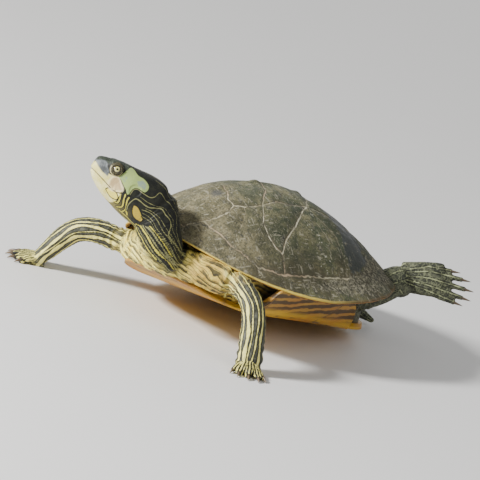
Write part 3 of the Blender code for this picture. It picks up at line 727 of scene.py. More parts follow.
def with_face(points, normals):
    """Mouth, nostrils, eardrum and the hollow before the eye."""
    back, left, up = head_places(points).T
    near = (back < 52) & (np.linalg.norm(points - SNOUT, axis=1) < 62)
    b, l, u = back[near], left[near], up[near]
    mouth = polyline_distance(b, u, MOUTH)
    above = u > np.interp(b, [p[0] for p in MOUTH], [p[1] for p in MOUTH])
    push = -0.75 * np.exp(-(mouth / 0.42) ** 2)
    push += np.where(above, 0.30, 0.12) * np.exp(-((mouth - 1.3) / 0.9) ** 2) * (b < 20)
    for side in (1, -1):
        nostril = ((b + 0.2) / 1.4) ** 2 + ((l - 1.9 * side) / 0.62) ** 2 + ((u - 5.4) / 0.62) ** 2
        push -= 0.9 * np.exp(-nostril)
        drum = np.hypot(b - 31, u - 1.5)
        push -= 0.45 * ease(4.6, 3.4, drum) * (l * side > 0)
        lore = np.hypot((b - 6.5) / 3.6, (u - 4.0) / 2.6)
        push -= 0.45 * np.exp(-lore ** 2) * (l * side > 0)
    cheek = np.hypot((b - 24) / 7, (u + 3) / 5)
    push += 0.5 * np.exp(-cheek ** 2)
    fade = ease(52, 46, b)
    points[near] += normals[near] * (push * fade)[:, None]
    return points


LIMBS = {"fore_l": (FORELEG_LEFT, (0.62, 0.72, 0.3)), "fore_r": (FORELEG_RIGHT, (0.3, -0.3, 0.9)),
         "hind_l": (HINDLEG_LEFT, (0.15, 0.85, 0.5)), "hind_r": (HINDLEG_RIGHT, (0, 0, 1)),
         "tail": (TAIL, (0, 0, 1))}


def skin_soup():
    up = turned((0, 0, 1))
    soup = Soup()

    def stations(rows):
        return [(*placed(row[:3]), row[3], row[4]) for row in rows]

    soup.loft(trunk_rings())
    soup.tube(stations(NECK), turned((-0.85, 0.0, 0.5)), sides=56)
    soup.tube(stations(CHEST), up, sides=40)
    soup.tube(stations(ARMPIT), up, sides=28)
    for rows, hint in LIMBS.values():
        soup.tube(stations(rows), turned(hint), sides=40)
    soup.loft(head_rings())
    for side in (1, -1):
        soup.ball(in_head(EYE_BACK, 7.6 * side, EYE_UP), (HEAD_F, HEAD_U, HEAD_L), (6.8, 6.2, 4.6))
    for name in FEET:
        Foot(*FEET[name]).fill(soup)
    return soup


# Markings of the head and neck on the left; the right mirrors them. Each point is millimetres back from the
# snout along the axis, degrees round it from the top, and each line starts with its half-width.
DEGREE = 0.26
THIN_LINES = (
    (0.18, (49, 120), (55, 114), (60, 108), (64, 104), (67.5, 92), (72, 76), (78, 62), (88, 50)),
    (0.18, (37, 88), (44, 86), (50, 76), (54, 62), (58, 58), (62, 50), (66, 58), (70, 50), (76, 38),
     (90, 28)),
    (0.16, (46, 100), (52, 92), (57, 86), (63, 78), (67, 68), (72, 54), (82, 40)),
    (0.24, (56, 142), (63, 131), (67, 120), (70, 110), (74, 92), (77, 76), (84, 62)),
    (0.26, (56, 158), (64, 150), (68, 140), (72, 127), (75, 112), (78, 96), (84, 82)),
    (0.24, (30.3, 97), (30.4, 83), (32.6, 76), (36.9, 77), (42, 75), (44.5, 66), (45.3, 48), (50, 46),
     (56.3, 38), (59.5, 32), (63, 38), (67.6, 46), (72, 42), (82, 30), (94, 24)),
    (0.34, (35, 133), (33.4, 119), (34.3, 101), (36.5, 96), (42.8, 96), (47.2, 92), (50.6, 81), (53.7, 69),
     (57.9, 67), (61.7, 59), (64.7, 62), (67.5, 72), (71, 60), (75, 47), (82, 35), (94, 32)),
    (0.22, (44.8, 108), (50.8, 99), (55.9, 95), (61.5, 90), (65.9, 83), (68.7, 73), (73.5, 60), (84, 46),
     (94, 42)),
    (0.2, (47, 113), (53.3, 107), (61, 102), (64.4, 97), (68.4, 84), (73.9, 67), (85, 54), (94, 50)),
    (0.26, (61.4, 126), (65.1, 113), (68.9, 102), (71.3, 92), (75.3, 81), (77.6, 70), (88, 60)),
    (0.24, (16, 8), (26, 7), (36, 12), (48, 12), (62, 12), (76, 12), (94, 10)),
    (0.2, (40, 26), (52, 25), (62, 20), (74, 22), (94, 18)),
    (0.26, (70, 150), (76, 140), (80, 125), (84, 105), (88, 90)),
    (0.24, (62, 120), (66, 108), (70, 96), (74, 82), (78, 68), (86, 54)),
    (0.3, (58, 134), (64, 128), (69, 112), (73, 98), (76, 84), (80, 72), (88, 66)),
    (0.24, (66, 140), (71, 128), (75, 112), (79, 96), (84, 82), (90, 74)),
    (0.26, (60, 178), (68, 168), (76, 158), (82, 146), (88, 130)))
WIDE_LINES = (
    (0.45, (61.9, 115), (65.5, 102), (68.7, 91), (71.2, 83), (75, 72), (79.1, 61), (88, 52)),
    (0.62, (52.5, 150), (62.6, 138), (66.8, 128), (69.5, 121), (72.9, 109), (75, 95), (77.5, 81), (84, 70)),
    (0.48, (31.7, 151), (39.8, 151), (50.3, 157), (62.8, 161), (67.6, 151), (71.7, 140), (74.7, 126),
     (77.3, 109)),
    (0.55, (38.1, 144), (34.8, 134), (33.4, 119)),
    (0.45, (25.2, 141), (27.4, 135), (26.4, 119), (24.6, 109)),
    (0.45, (29, 148), (31.2, 134), (29, 116), (27.9, 104)),
    (0.45, (33.4, 151), (34, 133), (31.3, 115), (30.9, 105)),
    (0.5, (36, 166), (46, 165), (56, 170), (66, 170), (74, 158)),
    (0.6, (30, 180), (44, 180), (60, 180), (74, 178), (84, 170)),
    (0.7, (68, 180), (80, 160), (88, 140), (92, 120)))
SPOTS = {
    "blotch": ((21.3, 64), (20.3, 40), (21.9, 24), (24.6, 28), (28, 41), (32.8, 43), (37.1, 51),
               (38.6, 62), (37.6, 73), (33.4, 74), (30.3, 80), (29.8, 94), (28.6, 101), (26, 93),
               (22.5, 88), (18.6, 85), (21, 74)),
    "neck_oval": ((36.9, 113), (39.2, 125), (44.5, 134), (50.5, 134), (52.5, 127), (47.4, 118),
                  (42.8, 113), (39.2, 111)),
    "jaw_spot": ((16.1, 132), (17, 124), (19.9, 120), (22.8, 118), (25.2, 124), (24.9, 131), (21.1, 138)),
    "cheek_oval": ((15.6, 120), (14.2, 108), (15.1, 94), (18.2, 88), (22.7, 93), (24.6, 101), (22.5, 110),
                   (19.1, 120)),
    "face": ((-6, 52), (0, 50), (3, 60), (7, 80), (12, 88), (16, 84), (19, 94), (24, 103), (25.5, 120),
             (25, 150), (20, 178), (-6, 184))}
# Seen from the side of the head, back and up: the grey patch before the eye, and the dark crown.
LORE = ((-1.2, 3.6), (2.0, 1.5), (6.2, -0.2), (10.6, -0.8), (10.4, 2.0), (6.9, 4.9), (4.9, 8.6), (-1.2, 8.0))
CROWN = ((-5, 4.2), (-0.4, 4.6), (1.6, 6.6), (4.6, 7.4), (6.6, 6.6), (9.0, 8.0), (20, 10), (20, 30), (-5, 30))


def mark_distance(along, degrees, marks):
    found = np.full(len(along), 9.0)
    for half, *line in marks:
        path = smooth_path([(s, a * DEGREE) for s, a in line], 4)
        found = np.minimum(found, polyline_distance(along, degrees * DEGREE, path) - half)
    return found


def spot_distance(along, degrees, corners):
    rows = smooth_path([(s, a * DEGREE) for s, a in [*corners, corners[0]]], 4)
    return patch_distance(along, degrees * DEGREE, [tuple(row) for row in rows[:-1]])


# Angles of the yellow stripes round each limb, in degrees, with their half-widths.
STRIPES = {
    "fore_l": ((12, 0.35), (37, 1.0), (66, 0.55), (92, 0.45), (121, 0.5), (150, 0.5), (178, 0.6),
               (-154, 0.5), (-126, 0.55), (-90, 0.5), (-53, 0.7), (-20, 0.45)),
    "fore_r": ((-8, 0.45), (-36, 0.42), (-66, 0.8), (-86, 0.25), (-108, 1.15), (-143, 0.65), (-170, 0.5),
               (18, 0.5), (46, 0.5), (74, 0.6), (104, 0.5), (134, 0.5), (162, 0.5)),
    "hind_l": tuple((-170 + 36 * i, 0.35) for i in range(10)),
    "hind_r": tuple((-170 + 36 * i, 0.4) for i in range(10)),
    "tail": tuple((-160 + 40 * i, 0.4) for i in range(9))}


def stripe_distance(along, degrees, reach, stripes, seed):
    found = np.full(len(along), 9.0)
    chance = np.random.RandomState(seed)
    for angle, half in stripes:
        a, b, c = chance.uniform(0, 6.3, 3)
        drift = 5 * np.sin(along / 9 + a) + 2.5 * np.sin(along / 3.7 + b)
        gap = np.abs((degrees - angle - drift + 180) % 360 - 180)
        width = half * (1 + 0.25 * np.sin(along / 2.3 + c))
        found = np.minimum(found, np.radians(gap) * np.minimum(reach, 10) - width)
    return found


TOE_STRIPES = {"fore": ((0.0, 0.42), (2.0, 0.28), (-2.0, 0.28)), "hind": ((0.6, 0.42),)}


def on_foot(points, foot):
    """Distance to the stripes on a foot's toes, and how much each point belongs to the foot, 0 to 1."""
    off = points - foot.start
    ahead, side, face = off @ foot.forward, off @ foot.across, off @ foot.face
    found = np.full(len(points), 9.0)
    for _, line in foot.toes:
        flat = [((p - foot.start) @ foot.forward, (p - foot.start) @ foot.across) for p in line]
        root = (foot.long * 0.15, flat[0][1] * 0.55)
        end = flat[-1]
        for shift, half in TOE_STRIPES[foot.kind]:
            moved = [(a, b + shift) for a, b in (root, *flat, (end[0] + 3, end[1]))]
            found = np.minimum(found, polyline_distance(ahead, side, moved) - half)
    reach = foot.long + TOES[foot.kind][2][1] + 6
    begins = foot.long * (0.62 if foot.kind == "fore" else 0.1)
    belongs = ease(begins - 2, begins + 3, ahead) * (ahead < reach) * (np.abs(side) < 30) * (np.abs(face) < 9)
    return found, belongs


def limb_places(points):
    """For each limb, the places along it of the points; those out of its reach are given as far away."""
    found = {}
    for name, (rows, hint) in LIMBS.items():
        axis = limb_axis(rows, hint)
        near = np.linalg.norm(points - axis.points.mean(axis=0), axis=1) < axis.along[-1] / 2 + 45
        found[name] = np.full((len(points), 4), 99.0)
        found[name][near] = axis.places(points[near])
    return found


def limb_folds(places, fine):
    """Creases round a limb's root, and rows of scales further out."""
    along, turn, out, part = places.T
    length, on = along[part < 1.02].max(), ease(1.25, 1.03, part)
    root = on * ease(length * 0.62, length * 0.30, along)
    across = np.radians(turn) * np.minimum(out, 10) / 3.3 + np.floor(along / 2.9) * 0.5
    cell = np.abs(np.sin(math.pi * along / 2.9)) ** 0.5 * np.abs(np.sin(math.pi * across)) ** 0.5
    return (root * 0.45 * np.sin(TURN * (along + 1.8 * fine) / 5.2)
            + on * ease(length * 0.35, length * 0.6, along) * 0.24 * (cell - 0.6))


def limb_markings(points, limbs, nearest, fine, rows):
    """Fields of the limbs and feet: stripes, share of limb, share of root, and rows of scales along them."""
    stripes, leg, root = np.full(len(points), 9.0), np.zeros(len(points)), np.zeros(len(points))
    for number, (name, places) in enumerate(limbs.items()):
        along, turn, out, part = places.T
        mine = (part < 1.8) & (part <= nearest + 1e-9)
        gap = stripe_distance(along[mine], turn[mine], out[mine], STRIPES[name], 50 + number)
        stripes[mine] = np.minimum(stripes[mine], gap)
        rows[mine] = along[mine]
        leg = np.maximum(leg, ease(1.8, 1.2, part))
        start = 31.0 if name.startswith("fore") else 10.0
        root[mine] = ease(start + 14, start - 3, along[mine] + 3.0 * fine[mine])
    for facts in FEET.values():
        foot = Foot(*facts)
        near = np.flatnonzero(np.linalg.norm(points - foot.start, axis=1) < 62)
        gap, mine = on_foot(points[near], foot)
        stripes[near[mine > 0.5]] = gap[mine > 0.5]
        leg[near] = np.maximum(leg[near], mine)
    return stripes, leg, root, rows


def eyelid_markings(points):
    """Distances to the edge of each eye's ring of lids, and to the pale line on its lower lid."""
    lids, lower = np.full(len(points), 6.0), np.full(len(points), 6.0)
    for side in (1, -1):
        centre, fore, over, out = eye_axes(side)
        v = points - centre
        near = (v @ out > -3) & (np.linalg.norm(v, axis=1) < 13)
        x, y = v[near] @ fore, v[near] @ over
        lids[near] = np.hypot(x, y) - 4.9
        lower[near] = np.where(y > -0.5, np.abs(np.hypot(x, y - 0.3) - 4.3), 6.0)
    return np.clip(lids, -6, 6), lower


def kept(values, where):
    return np.where(where, np.clip(values, -6, 6), 6.0)


SKIN_VOXEL = 0.62


def skin_piece():
    """One surface for all the flesh: remeshed, refined at the head and eyes, folded and marked."""
    made = skin_soup().object("skin")
    remeshed(made, SKIN_VOXEL)
    set_vertices(made, relaxed(made, vertices_of(made), 5))
    refined(made, lambda p: (head_places(p)[:, 0] < 53) & (np.linalg.norm(p - SNOUT, axis=1) < 60))
    eyes = [eye_axes(side)[0] for side in (1, -1)]
    refined(made, lambda p: np.min([np.linalg.norm(p - eye, axis=1) for eye in eyes], axis=0) < 9.5)
    points = vertices_of(made)
    face = ease(56, 50, np.linalg.norm(points - SNOUT, axis=1))
    points = relaxed(made, points, 4, 0.5, face)
    set_vertices(made, points)
    normals = vectors_of(made, "normal")

    f, l, u = in_body(points).T
    neck = np.full((len(points), 4), 99.0)
    neck[f > 52] = head_and_neck().places(points[f > 52])
    s, degrees, _, share = neck.T
    side, fine, limbs = np.abs(degrees), ripple(points, 7, 21), limb_places(points)
    nearest = np.min([places[:, 3] for places in limbs.values()], axis=0)
    on_head = ease(50, 46, s) * (np.linalg.norm(points - SNOUT, axis=1) < 62)

    # Folds: across the neck, round the roots of the limbs, and loose skin over the chest.
    neck_like = ease(1.30, 1.05, share) * ease(46, 54, s)
    push = neck_like * 0.14 * np.sin(TURN * (s + 1.6 * fine + 0.02 * side) / 3.6)
    push += neck_like * ease(70, 84, s) * 0.55 * np.sin(TURN * (s + 2.0 * fine) / 7.5)
    for places in limbs.values():
        push += limb_folds(places, fine)
    loose = (f > 55) * (1 - on_head) * ease(1.0, 1.25, share) * ease(1.0, 1.25, nearest)
    swirl = l * 0.45 + u * 1.1 + 3.0 * ripple(points, 26, 4) + 1.2 * ripple(points, 9, 14)
    push += loose * 0.55 * np.sin(TURN * swirl / 6.4)
    push += 0.10 * ripple(points, 2.6, 31) * (1 - face)
    points = with_lids(with_face(points + normals * push[:, None], normals))
    points[:, 2] = np.maximum(points[:, 2], 0.0)
    set_vertices(made, points)

    # Markings, as distances in millimetres, negative inside, and weights from 0 to 1.
    marked = np.maximum(ease(1.6, 1.3, share), on_head) > 0
    stripes, leg, root, rows = limb_markings(points, limbs, nearest, fine, np.where(marked, s, 0.0))
    leg *= 1 - ease(1.3, 1.1, share)
    for name, lines in (("thin", THIN_LINES), ("wide", WIDE_LINES)):
        give(made, **{name: kept(mark_distance(s, side, lines), marked)})
    for name, corners in SPOTS.items():
        give(made, **{name: kept(spot_distance(s, side, corners), marked & (s < 60))})
    back, _, up = head_places(points).T
    for name, corners in (("lore", LORE), ("crown", CROWN)):
        give(made, **{name: kept(patch_distance(back, up, corners), marked & (s < 60))})
    lids, lower_lid = eyelid_markings(points)
    base = np.interp(side, (60, 85, 100, 120, 140, 165, 180), (92, 86, 82, 79, 76, 71, 68)) + 2.5 * fine
    give(made, mouth=kept(polyline_distance(back, up, MOUTH), (back < 30) & marked), lids=lids,
         lower_lid=lower_lid, stripes=kept(stripes, leg > 0), leg=leg, root=root, rows=rows,
         neck=np.maximum(ease(1.32, 1.12, share) * ease(base + 3, base - 3, s), on_head),
         low=ease(110, 165, side) * ease(48, 26, s) * marked, swirl=swirl, forward=f, left=l)
    return made


# ---------------------------------------------------------------- eyes and claws
def eye_piece(name, side):
    """Eyeball with a clear bulge in front; rings run from the middle of the pupil outwards."""
    centre, ahead, over, out = eye_axes(side)
    turn = TURN * np.arange(72) / 72
    circle = np.outer(np.cos(turn), ahead) + np.outer(np.sin(turn), over)
    rings = []
    for tilt in np.radians(np.concatenate([np.linspace(1, 60, 48), np.linspace(63, 178, 26)])):
        reach = EYE_RADIUS - 0.10 + 0.28 * max(0.0, 1 - (tilt / math.radians(40)) ** 2) ** 1.5
        rings.append(centre + reach * (circle * math.sin(tilt) + out * math.cos(tilt)))
    points = np.vstack(rings)
    ends = [centre + out * (EYE_RADIUS + 0.18), centre - out * (EYE_RADIUS - 0.1)]
    made = closed_piece(name, points, 72, ends)
    v = np.vstack([points, ends]) - centre
    give(made, ring=np.degrees(np.arctan2(np.hypot(v @ ahead, v @ over), v @ out)), over=v @ over)
    return made


def claw_piece(name, foot):
    """The claws of one foot: curved horns, deeper than wide, with a ridge along the top."""
    soup = Soup()
    shares = []
    reach = CLAW_LENGTH[foot.kind]
    c, s = oval(20, 2.2)
    for way, line in foot.toes:
        start, across = line[-1] - way * 1.8, unit(np.cross(foot.face, way))
        rings = []
        for g in np.linspace(0, 1, 14):
            middle = start + way * reach * g * 1.05 + foot.face * (0.9 * math.sin(g * 2.2) - 2.1 * g * g)
            size = 1.28 * (1 - 0.86 * g ** 1.6)
            slope = unit(way * reach + foot.face * (1.98 * math.cos(g * 2.2) - 4.2 * g))
            lift = np.cross(slope, across)
            lift *= np.sign(lift @ foot.face)
            rings.append(middle + np.outer(c * size * 0.86, across) + np.outer(s * size * 1.12, lift)
                         + np.outer(np.maximum(s, 0) ** 6 * 0.16 * (1 - g), lift))
            shares += [g] * len(c)
        soup.loft(rings)
        shares += [0.0, 1.0]
    made = soup.object(name)
    points = vertices_of(made)
    points[:, 2] = np.maximum(points[:, 2], 0.02)
    set_vertices(made, points)
    give(made, share=shares)
    return made


# ---------------------------------------------------------------- materials
class Field:
    """One output of a node. Sums, products and masks of fields are nodes in the same material."""

    def __init__(self, graph, socket):
        self.graph, self.socket = graph, socket

    def __add__(self, other):
        return self.graph.math("ADD", self, other)

    def __sub__(self, number):
        return self + -number

    def __mul__(self, other):
        return self.graph.math("MULTIPLY", self, other)

    def __abs__(self):
        return self.graph.math("ABSOLUTE", self)

    def __pow__(self, power):
        return self.graph.math("POWER", self, float(power))

    __radd__, __rmul__ = __add__, __mul__

    def sine(self):
        return self.graph.math("SINE", self)

    def mask(self, low, high):
        """0 at low, 1 at high, smooth between; low may be the greater."""
        node = self.graph.node("ShaderNodeMapRange", interpolation_type="SMOOTHSTEP")
        self.graph.feed(node.inputs["Value"], self)
        ends = dict(zip(("From Min", "From Max"), sorted((low, high))))
        ends.update(zip(("To Min", "To Max"), (1, 0) if low > high else (0, 1)))
        for name, value in ends.items():
            node.inputs[name].default_value = value
        return Field(self.graph, node.outputs[0])


class Graph:
    """A material and the few kinds of node that it is built from."""

    def __init__(self, name):
        self.material = bpy.data.materials.new(name)
        self.material.use_nodes = True
        self.tree = self.material.node_tree
        self.shader = self.tree.nodes["Principled BSDF"]

    def node(self, kind, **settings):
        node = self.tree.nodes.new(kind)
        for name, value in settings.items():
            setattr(node, name, value)
        return node

    def feed(self, socket, value):
        if isinstance(value, Field):
            self.tree.links.new(value.socket, socket)
        elif isinstance(value, tuple) and socket.type == "RGBA":
            socket.default_value = (*value, 1.0)
        else:
            socket.default_value = value

    def attribute(self, name):
        return Field(self, self.node("ShaderNodeAttribute", attribute_name=name).outputs["Fac"])

    def math(self, operation, *values):
        node = self.node("ShaderNodeMath", operation=operation)
        for socket, value in zip(node.inputs, values):
            self.feed(socket, value)
        return Field(self, node.outputs[0])

    def texture(self, kind, size, stretch, **settings):
        """A texture in the object's own space with features about this many millimetres across."""
        node = self.node(kind, **settings)
        mapping = self.node("ShaderNodeMapping")
        mapping.inputs["Scale"].default_value = stretch
        coordinates = self.node("ShaderNodeTexCoord").outputs["Object"]
        self.tree.links.new(coordinates, mapping.inputs["Vector"])
        self.tree.links.new(mapping.outputs[0], node.inputs["Vector"])
        node.inputs["Scale"].default_value = 1 / (size * MM)
        return node

    def noise(self, size, detail=3.0, rough=0.55, shift=0.0, stretch=(1, 1, 1)):
        """Noise from 0 to 1."""
        node = self.texture("ShaderNodeTexNoise", size, stretch, noise_dimensions="4D")
        for name, value in (("W", shift), ("Detail", detail), ("Roughness", rough)):
            node.inputs[name].default_value = value
        return Field(self, node.outputs["Fac"])

    def scales(self, size, gap, stretch=(1, 1, 1)):
        """Small scales: 0 in the gaps between them, 1 on top."""
        node = self.texture("ShaderNodeTexVoronoi", size, stretch, feature="DISTANCE_TO_EDGE")
        return Field(self, node.outputs["Distance"]).mask(0.0, gap)

    def mix(self, share, a, b):
        node = self.node("ShaderNodeMix", data_type="RGBA")
        for socket, value in zip((node.inputs["Factor"], node.inputs[6], node.inputs[7]), (share, a, b)):
            self.feed(socket, value)
        return Field(self, node.outputs[2])

    def coats(self, colour, *coats):
        """Colours laid over this one in turn, each with its share."""
        for share, tint in coats:
            colour = self.mix(share, colour, tint)
        return colour

    def relief(self, *layers):
        """Bumps laid over each other: height 0 to 1, the depth in millimetres, and the strength."""
        normal = None
        for height, depth, strength in layers:
            node = self.node("ShaderNodeBump")
            for name, value in (("Strength", strength), ("Distance", depth * MM), ("Height", height)):
                self.feed(node.inputs[name], value)
            if normal:
                self.feed(node.inputs["Normal"], normal)
            normal = Field(self, node.outputs[0])
        return normal

    def finish(self, colour, roughness, normal, **constants):
        for name, value in (("Base Color", colour), ("Roughness", roughness), ("Normal", normal)):
            self.feed(self.shader.inputs[name], value)
        for name, value in constants.items():
            self.shader.inputs[name.replace("_", " ")].default_value = value
        return self.material


def carapace_material():
    g = Graph("shell_horn")
    warp, fray = g.noise(5, 3) - 0.5, g.noise(1.4, 3, 0.7, 9.0) - 0.5
    drift = warp * 0.9 + fray * 0.35
    seam, faint, forward, left, out, under, scuffed = (
        g.attribute(name) for name in ("seam", "faint", "forward", "left", "out", "under", "scuffed"))
    ringed, seam, faint = faint, seam + drift, faint + drift
    broad, middle, small = g.noise(30, 4, 0.6, 1.0), g.noise(9, 5, 0.65, 2.0), g.noise(1.3, 4, 0.7, 3.0)

    # Olive and brown horn, dulled by dust, flecks and growth rings; painted shade darkens the rear and the
    # low sides.
    grit = g.noise(0.9, 3, 0.75, 5.0, (1, 1, 0.5))
    dusty = (g.noise(22, 3, shift=11.0).mask(0.42, 0.62) * 0.6 + 0.22) * (forward.mask(-60, 40) * 0.55 + 0.45)
    flecks = g.noise(1.7, 2, 0.6, 15.0, (1, 1, 0.6)).mask(0.63, 0.67)
    growth = (g.math("MINIMUM", seam, faint) * (TURN / 1.7) + warp * 3.0).sine()
    growing = g.noise(16, 2, shift=6.0).mask(0.46, 0.64)
    colour = g.coats(
        g.mix(broad.mask(0.36, 0.64), (0.125, 0.124, 0.056), (0.068, 0.084, 0.046)),
        (middle.mask(0.44, 0.62) * 0.8, (0.225, 0.205, 0.105)),
        (g.noise(14, 4, 0.6, 7.0).mask(0.48, 0.60) * 0.72, (0.034, 0.046, 0.024)),
        (forward.mask(20, 72) * 0.45,
         g.mix(middle.mask(0.4, 0.65), (0.150, 0.115, 0.066), (0.300, 0.245, 0.145))),
        (small.mask(0.47, 0.62) * 0.70, (0.030, 0.032, 0.022)),
        (grit.mask(0.52, 0.68) * (dusty + scuffed * 0.3), (0.30, 0.285, 0.19)),
        (flecks * (scuffed * 0.65 + 0.25), (0.62, 0.60, 0.48)),
        # painted shade: darker towards the rear
        (forward.mask(0, -70) * 0.62, (0.030, 0.040, 0.028)),
        # painted shade: darker brown on the low sides
        (abs(left).mask(48, 66) * broad.mask(0.40, 0.55) * 0.6, (0.075, 0.060, 0.030)),
        (growth.mask(0.2, 1.0) * (growing * 0.42), (0.036, 0.036, 0.024)))
    for shift, stretch in ((21.0, (0.22, 1.0, 0.22)), (27.0, (1.0, 0.22, 0.5))):
        scratch = g.noise(2.0, 2, 0.5, shift, stretch).mask(0.62, 0.68)
        colour = g.mix(scratch * 0.5, colour, (0.40, 0.37, 0.27))

    # Pale seams and the crack, then the wet streak, the dried mud and a painted shadow of the head on the
    # front of the shell.
    fade = g.noise(13, 3, shift=12.0).mask(0.38, 0.58) * 0.50 + 0.48
    pale = g.mix(g.noise(34, 2, shift=17.0).mask(0.45, 0.55), (0.50, 0.46, 0.31), (0.44, 0.33, 0.21))
    crack = g.attribute("crack") + drift * 1.2
    soaked = (g.attribute("wet") + warp * 3).mask(0.25, 0.60)
    crust = g.noise(1.9, 5, 0.8, 13.0).mask(0.42, 0.60)
    muddy = (g.attribute("mud") + warp * 4).mask(0.2, 0.9)
    gap = g.math("SQRT", (forward - 61) ** 2 + (left - 6) ** 2)
    colour = g.coats(
        colour,
        (seam.mask(2.0, 0.3) * (fade * 0.30), (0.20, 0.16, 0.105)),
        (abs(seam - 0.9).mask(0.45, 0.1) * 0.3, (0.030, 0.029, 0.020)),
        (seam.mask(0.40, 0.16) * fade, pale),
        (faint.mask(0.32, 0.10) * (fade * 0.6), (0.40, 0.35, 0.24)),
        (crack.mask(0.38, 0.15) * (fade * 0.6 + 0.35), (0.64, 0.60, 0.43)),
        (soaked * 0.88, g.mix(small.mask(0.4, 0.6), (0.022, 0.027, 0.025), (0.048, 0.055, 0.050))),
        (muddy * 0.85, g.mix(crust, (0.052, 0.050, 0.034), (0.36, 0.33, 0.23))),
        # painted shadow of the head: a dark bluish patch round one point near the front of the shell
        ((gap + warp * 7).mask(6, 2) * 0.55, (0.045, 0.050, 0.070)))

    # The yellow edge of the rim, and the orange underside with its dark rings.
    bright = forward.mask(-35, 25)
    edge = out + drift * 0.010 + forward.mask(35, 80) * -0.010
    rings = (ringed * 1.1 + warp * 1.6).sine()
    colour = g.coats(
        colour,
        (edge.mask(0.984, 0.993) * (bright * 0.5 + 0.5),
         g.mix(bright, (0.15, 0.095, 0.040), (0.80, 0.60, 0.10))),
        (under.mask(0.30, 0.62), (0.34, 0.155, 0.030)),
        (under.mask(0.55, 0.95) * rings.mask(-0.45, 0.15) * 0.92, (0.030, 0.022, 0.014)))
    relief = g.relief((g.noise(0.8, 4, 0.7, 4.0), 0.12, 0.8), (grit, 0.10, 0.5),
                      (growth * growing, 0.04, 0.3), (crust * muddy, 0.5, 0.8))
    rough = (middle * 0.30 + 0.50) + (muddy + soaked * -1.4) * 0.2
    return g.finish(colour, rough, relief, Specular_IOR_Level=0.32)


def plastron_material():
    g = Graph("belly_horn")
    seam = g.attribute("seam") + (g.noise(7, 3) - 0.5)
    rise, forward = g.attribute("rise"), g.attribute("forward")
    wing = rise.mask(4, 11)
    rings = (rise * 0.9 + forward * 0.22 + (g.noise(17, 3, shift=4.0) - 0.5) * 9).sine()
    blots = (rings + (g.noise(6, 4, shift=9.0) - 0.5) * 3.0).mask(-0.45, 0.20)
    colour = g.coats(
        g.mix(g.noise(18, 4, shift=1.0).mask(0.35, 0.7), (0.64, 0.39, 0.020), (0.54, 0.21, 0.008)),
        (g.noise(3, 4, 0.6, 2.0).mask(0.5, 0.75) * 0.35, (0.42, 0.24, 0.09)),
        # painted shade: the bridges are darkened to a dull brown; the dark bars below are their pattern
        (wing * 0.70, (0.30, 0.155, 0.045)),
        (wing * forward.mask(62, 50) * blots * 0.9, (0.050, 0.034, 0.020)),
        (seam.mask(3.5, 0.5) * g.noise(9, 3, shift=3.0).mask(0.45, 0.65), (0.16, 0.085, 0.035)),
        (seam.mask(0.6, 0.25), (0.055, 0.032, 0.016)))
    relief = g.relief((g.noise(1.1, 3), 0.08, 0.6), ((seam * (TURN / 1.5)).sine(), 0.05, 0.5))
    return g.finish(colour, g.noise(6, 3) * 0.25 + 0.34, relief, Specular_IOR_Level=0.45)


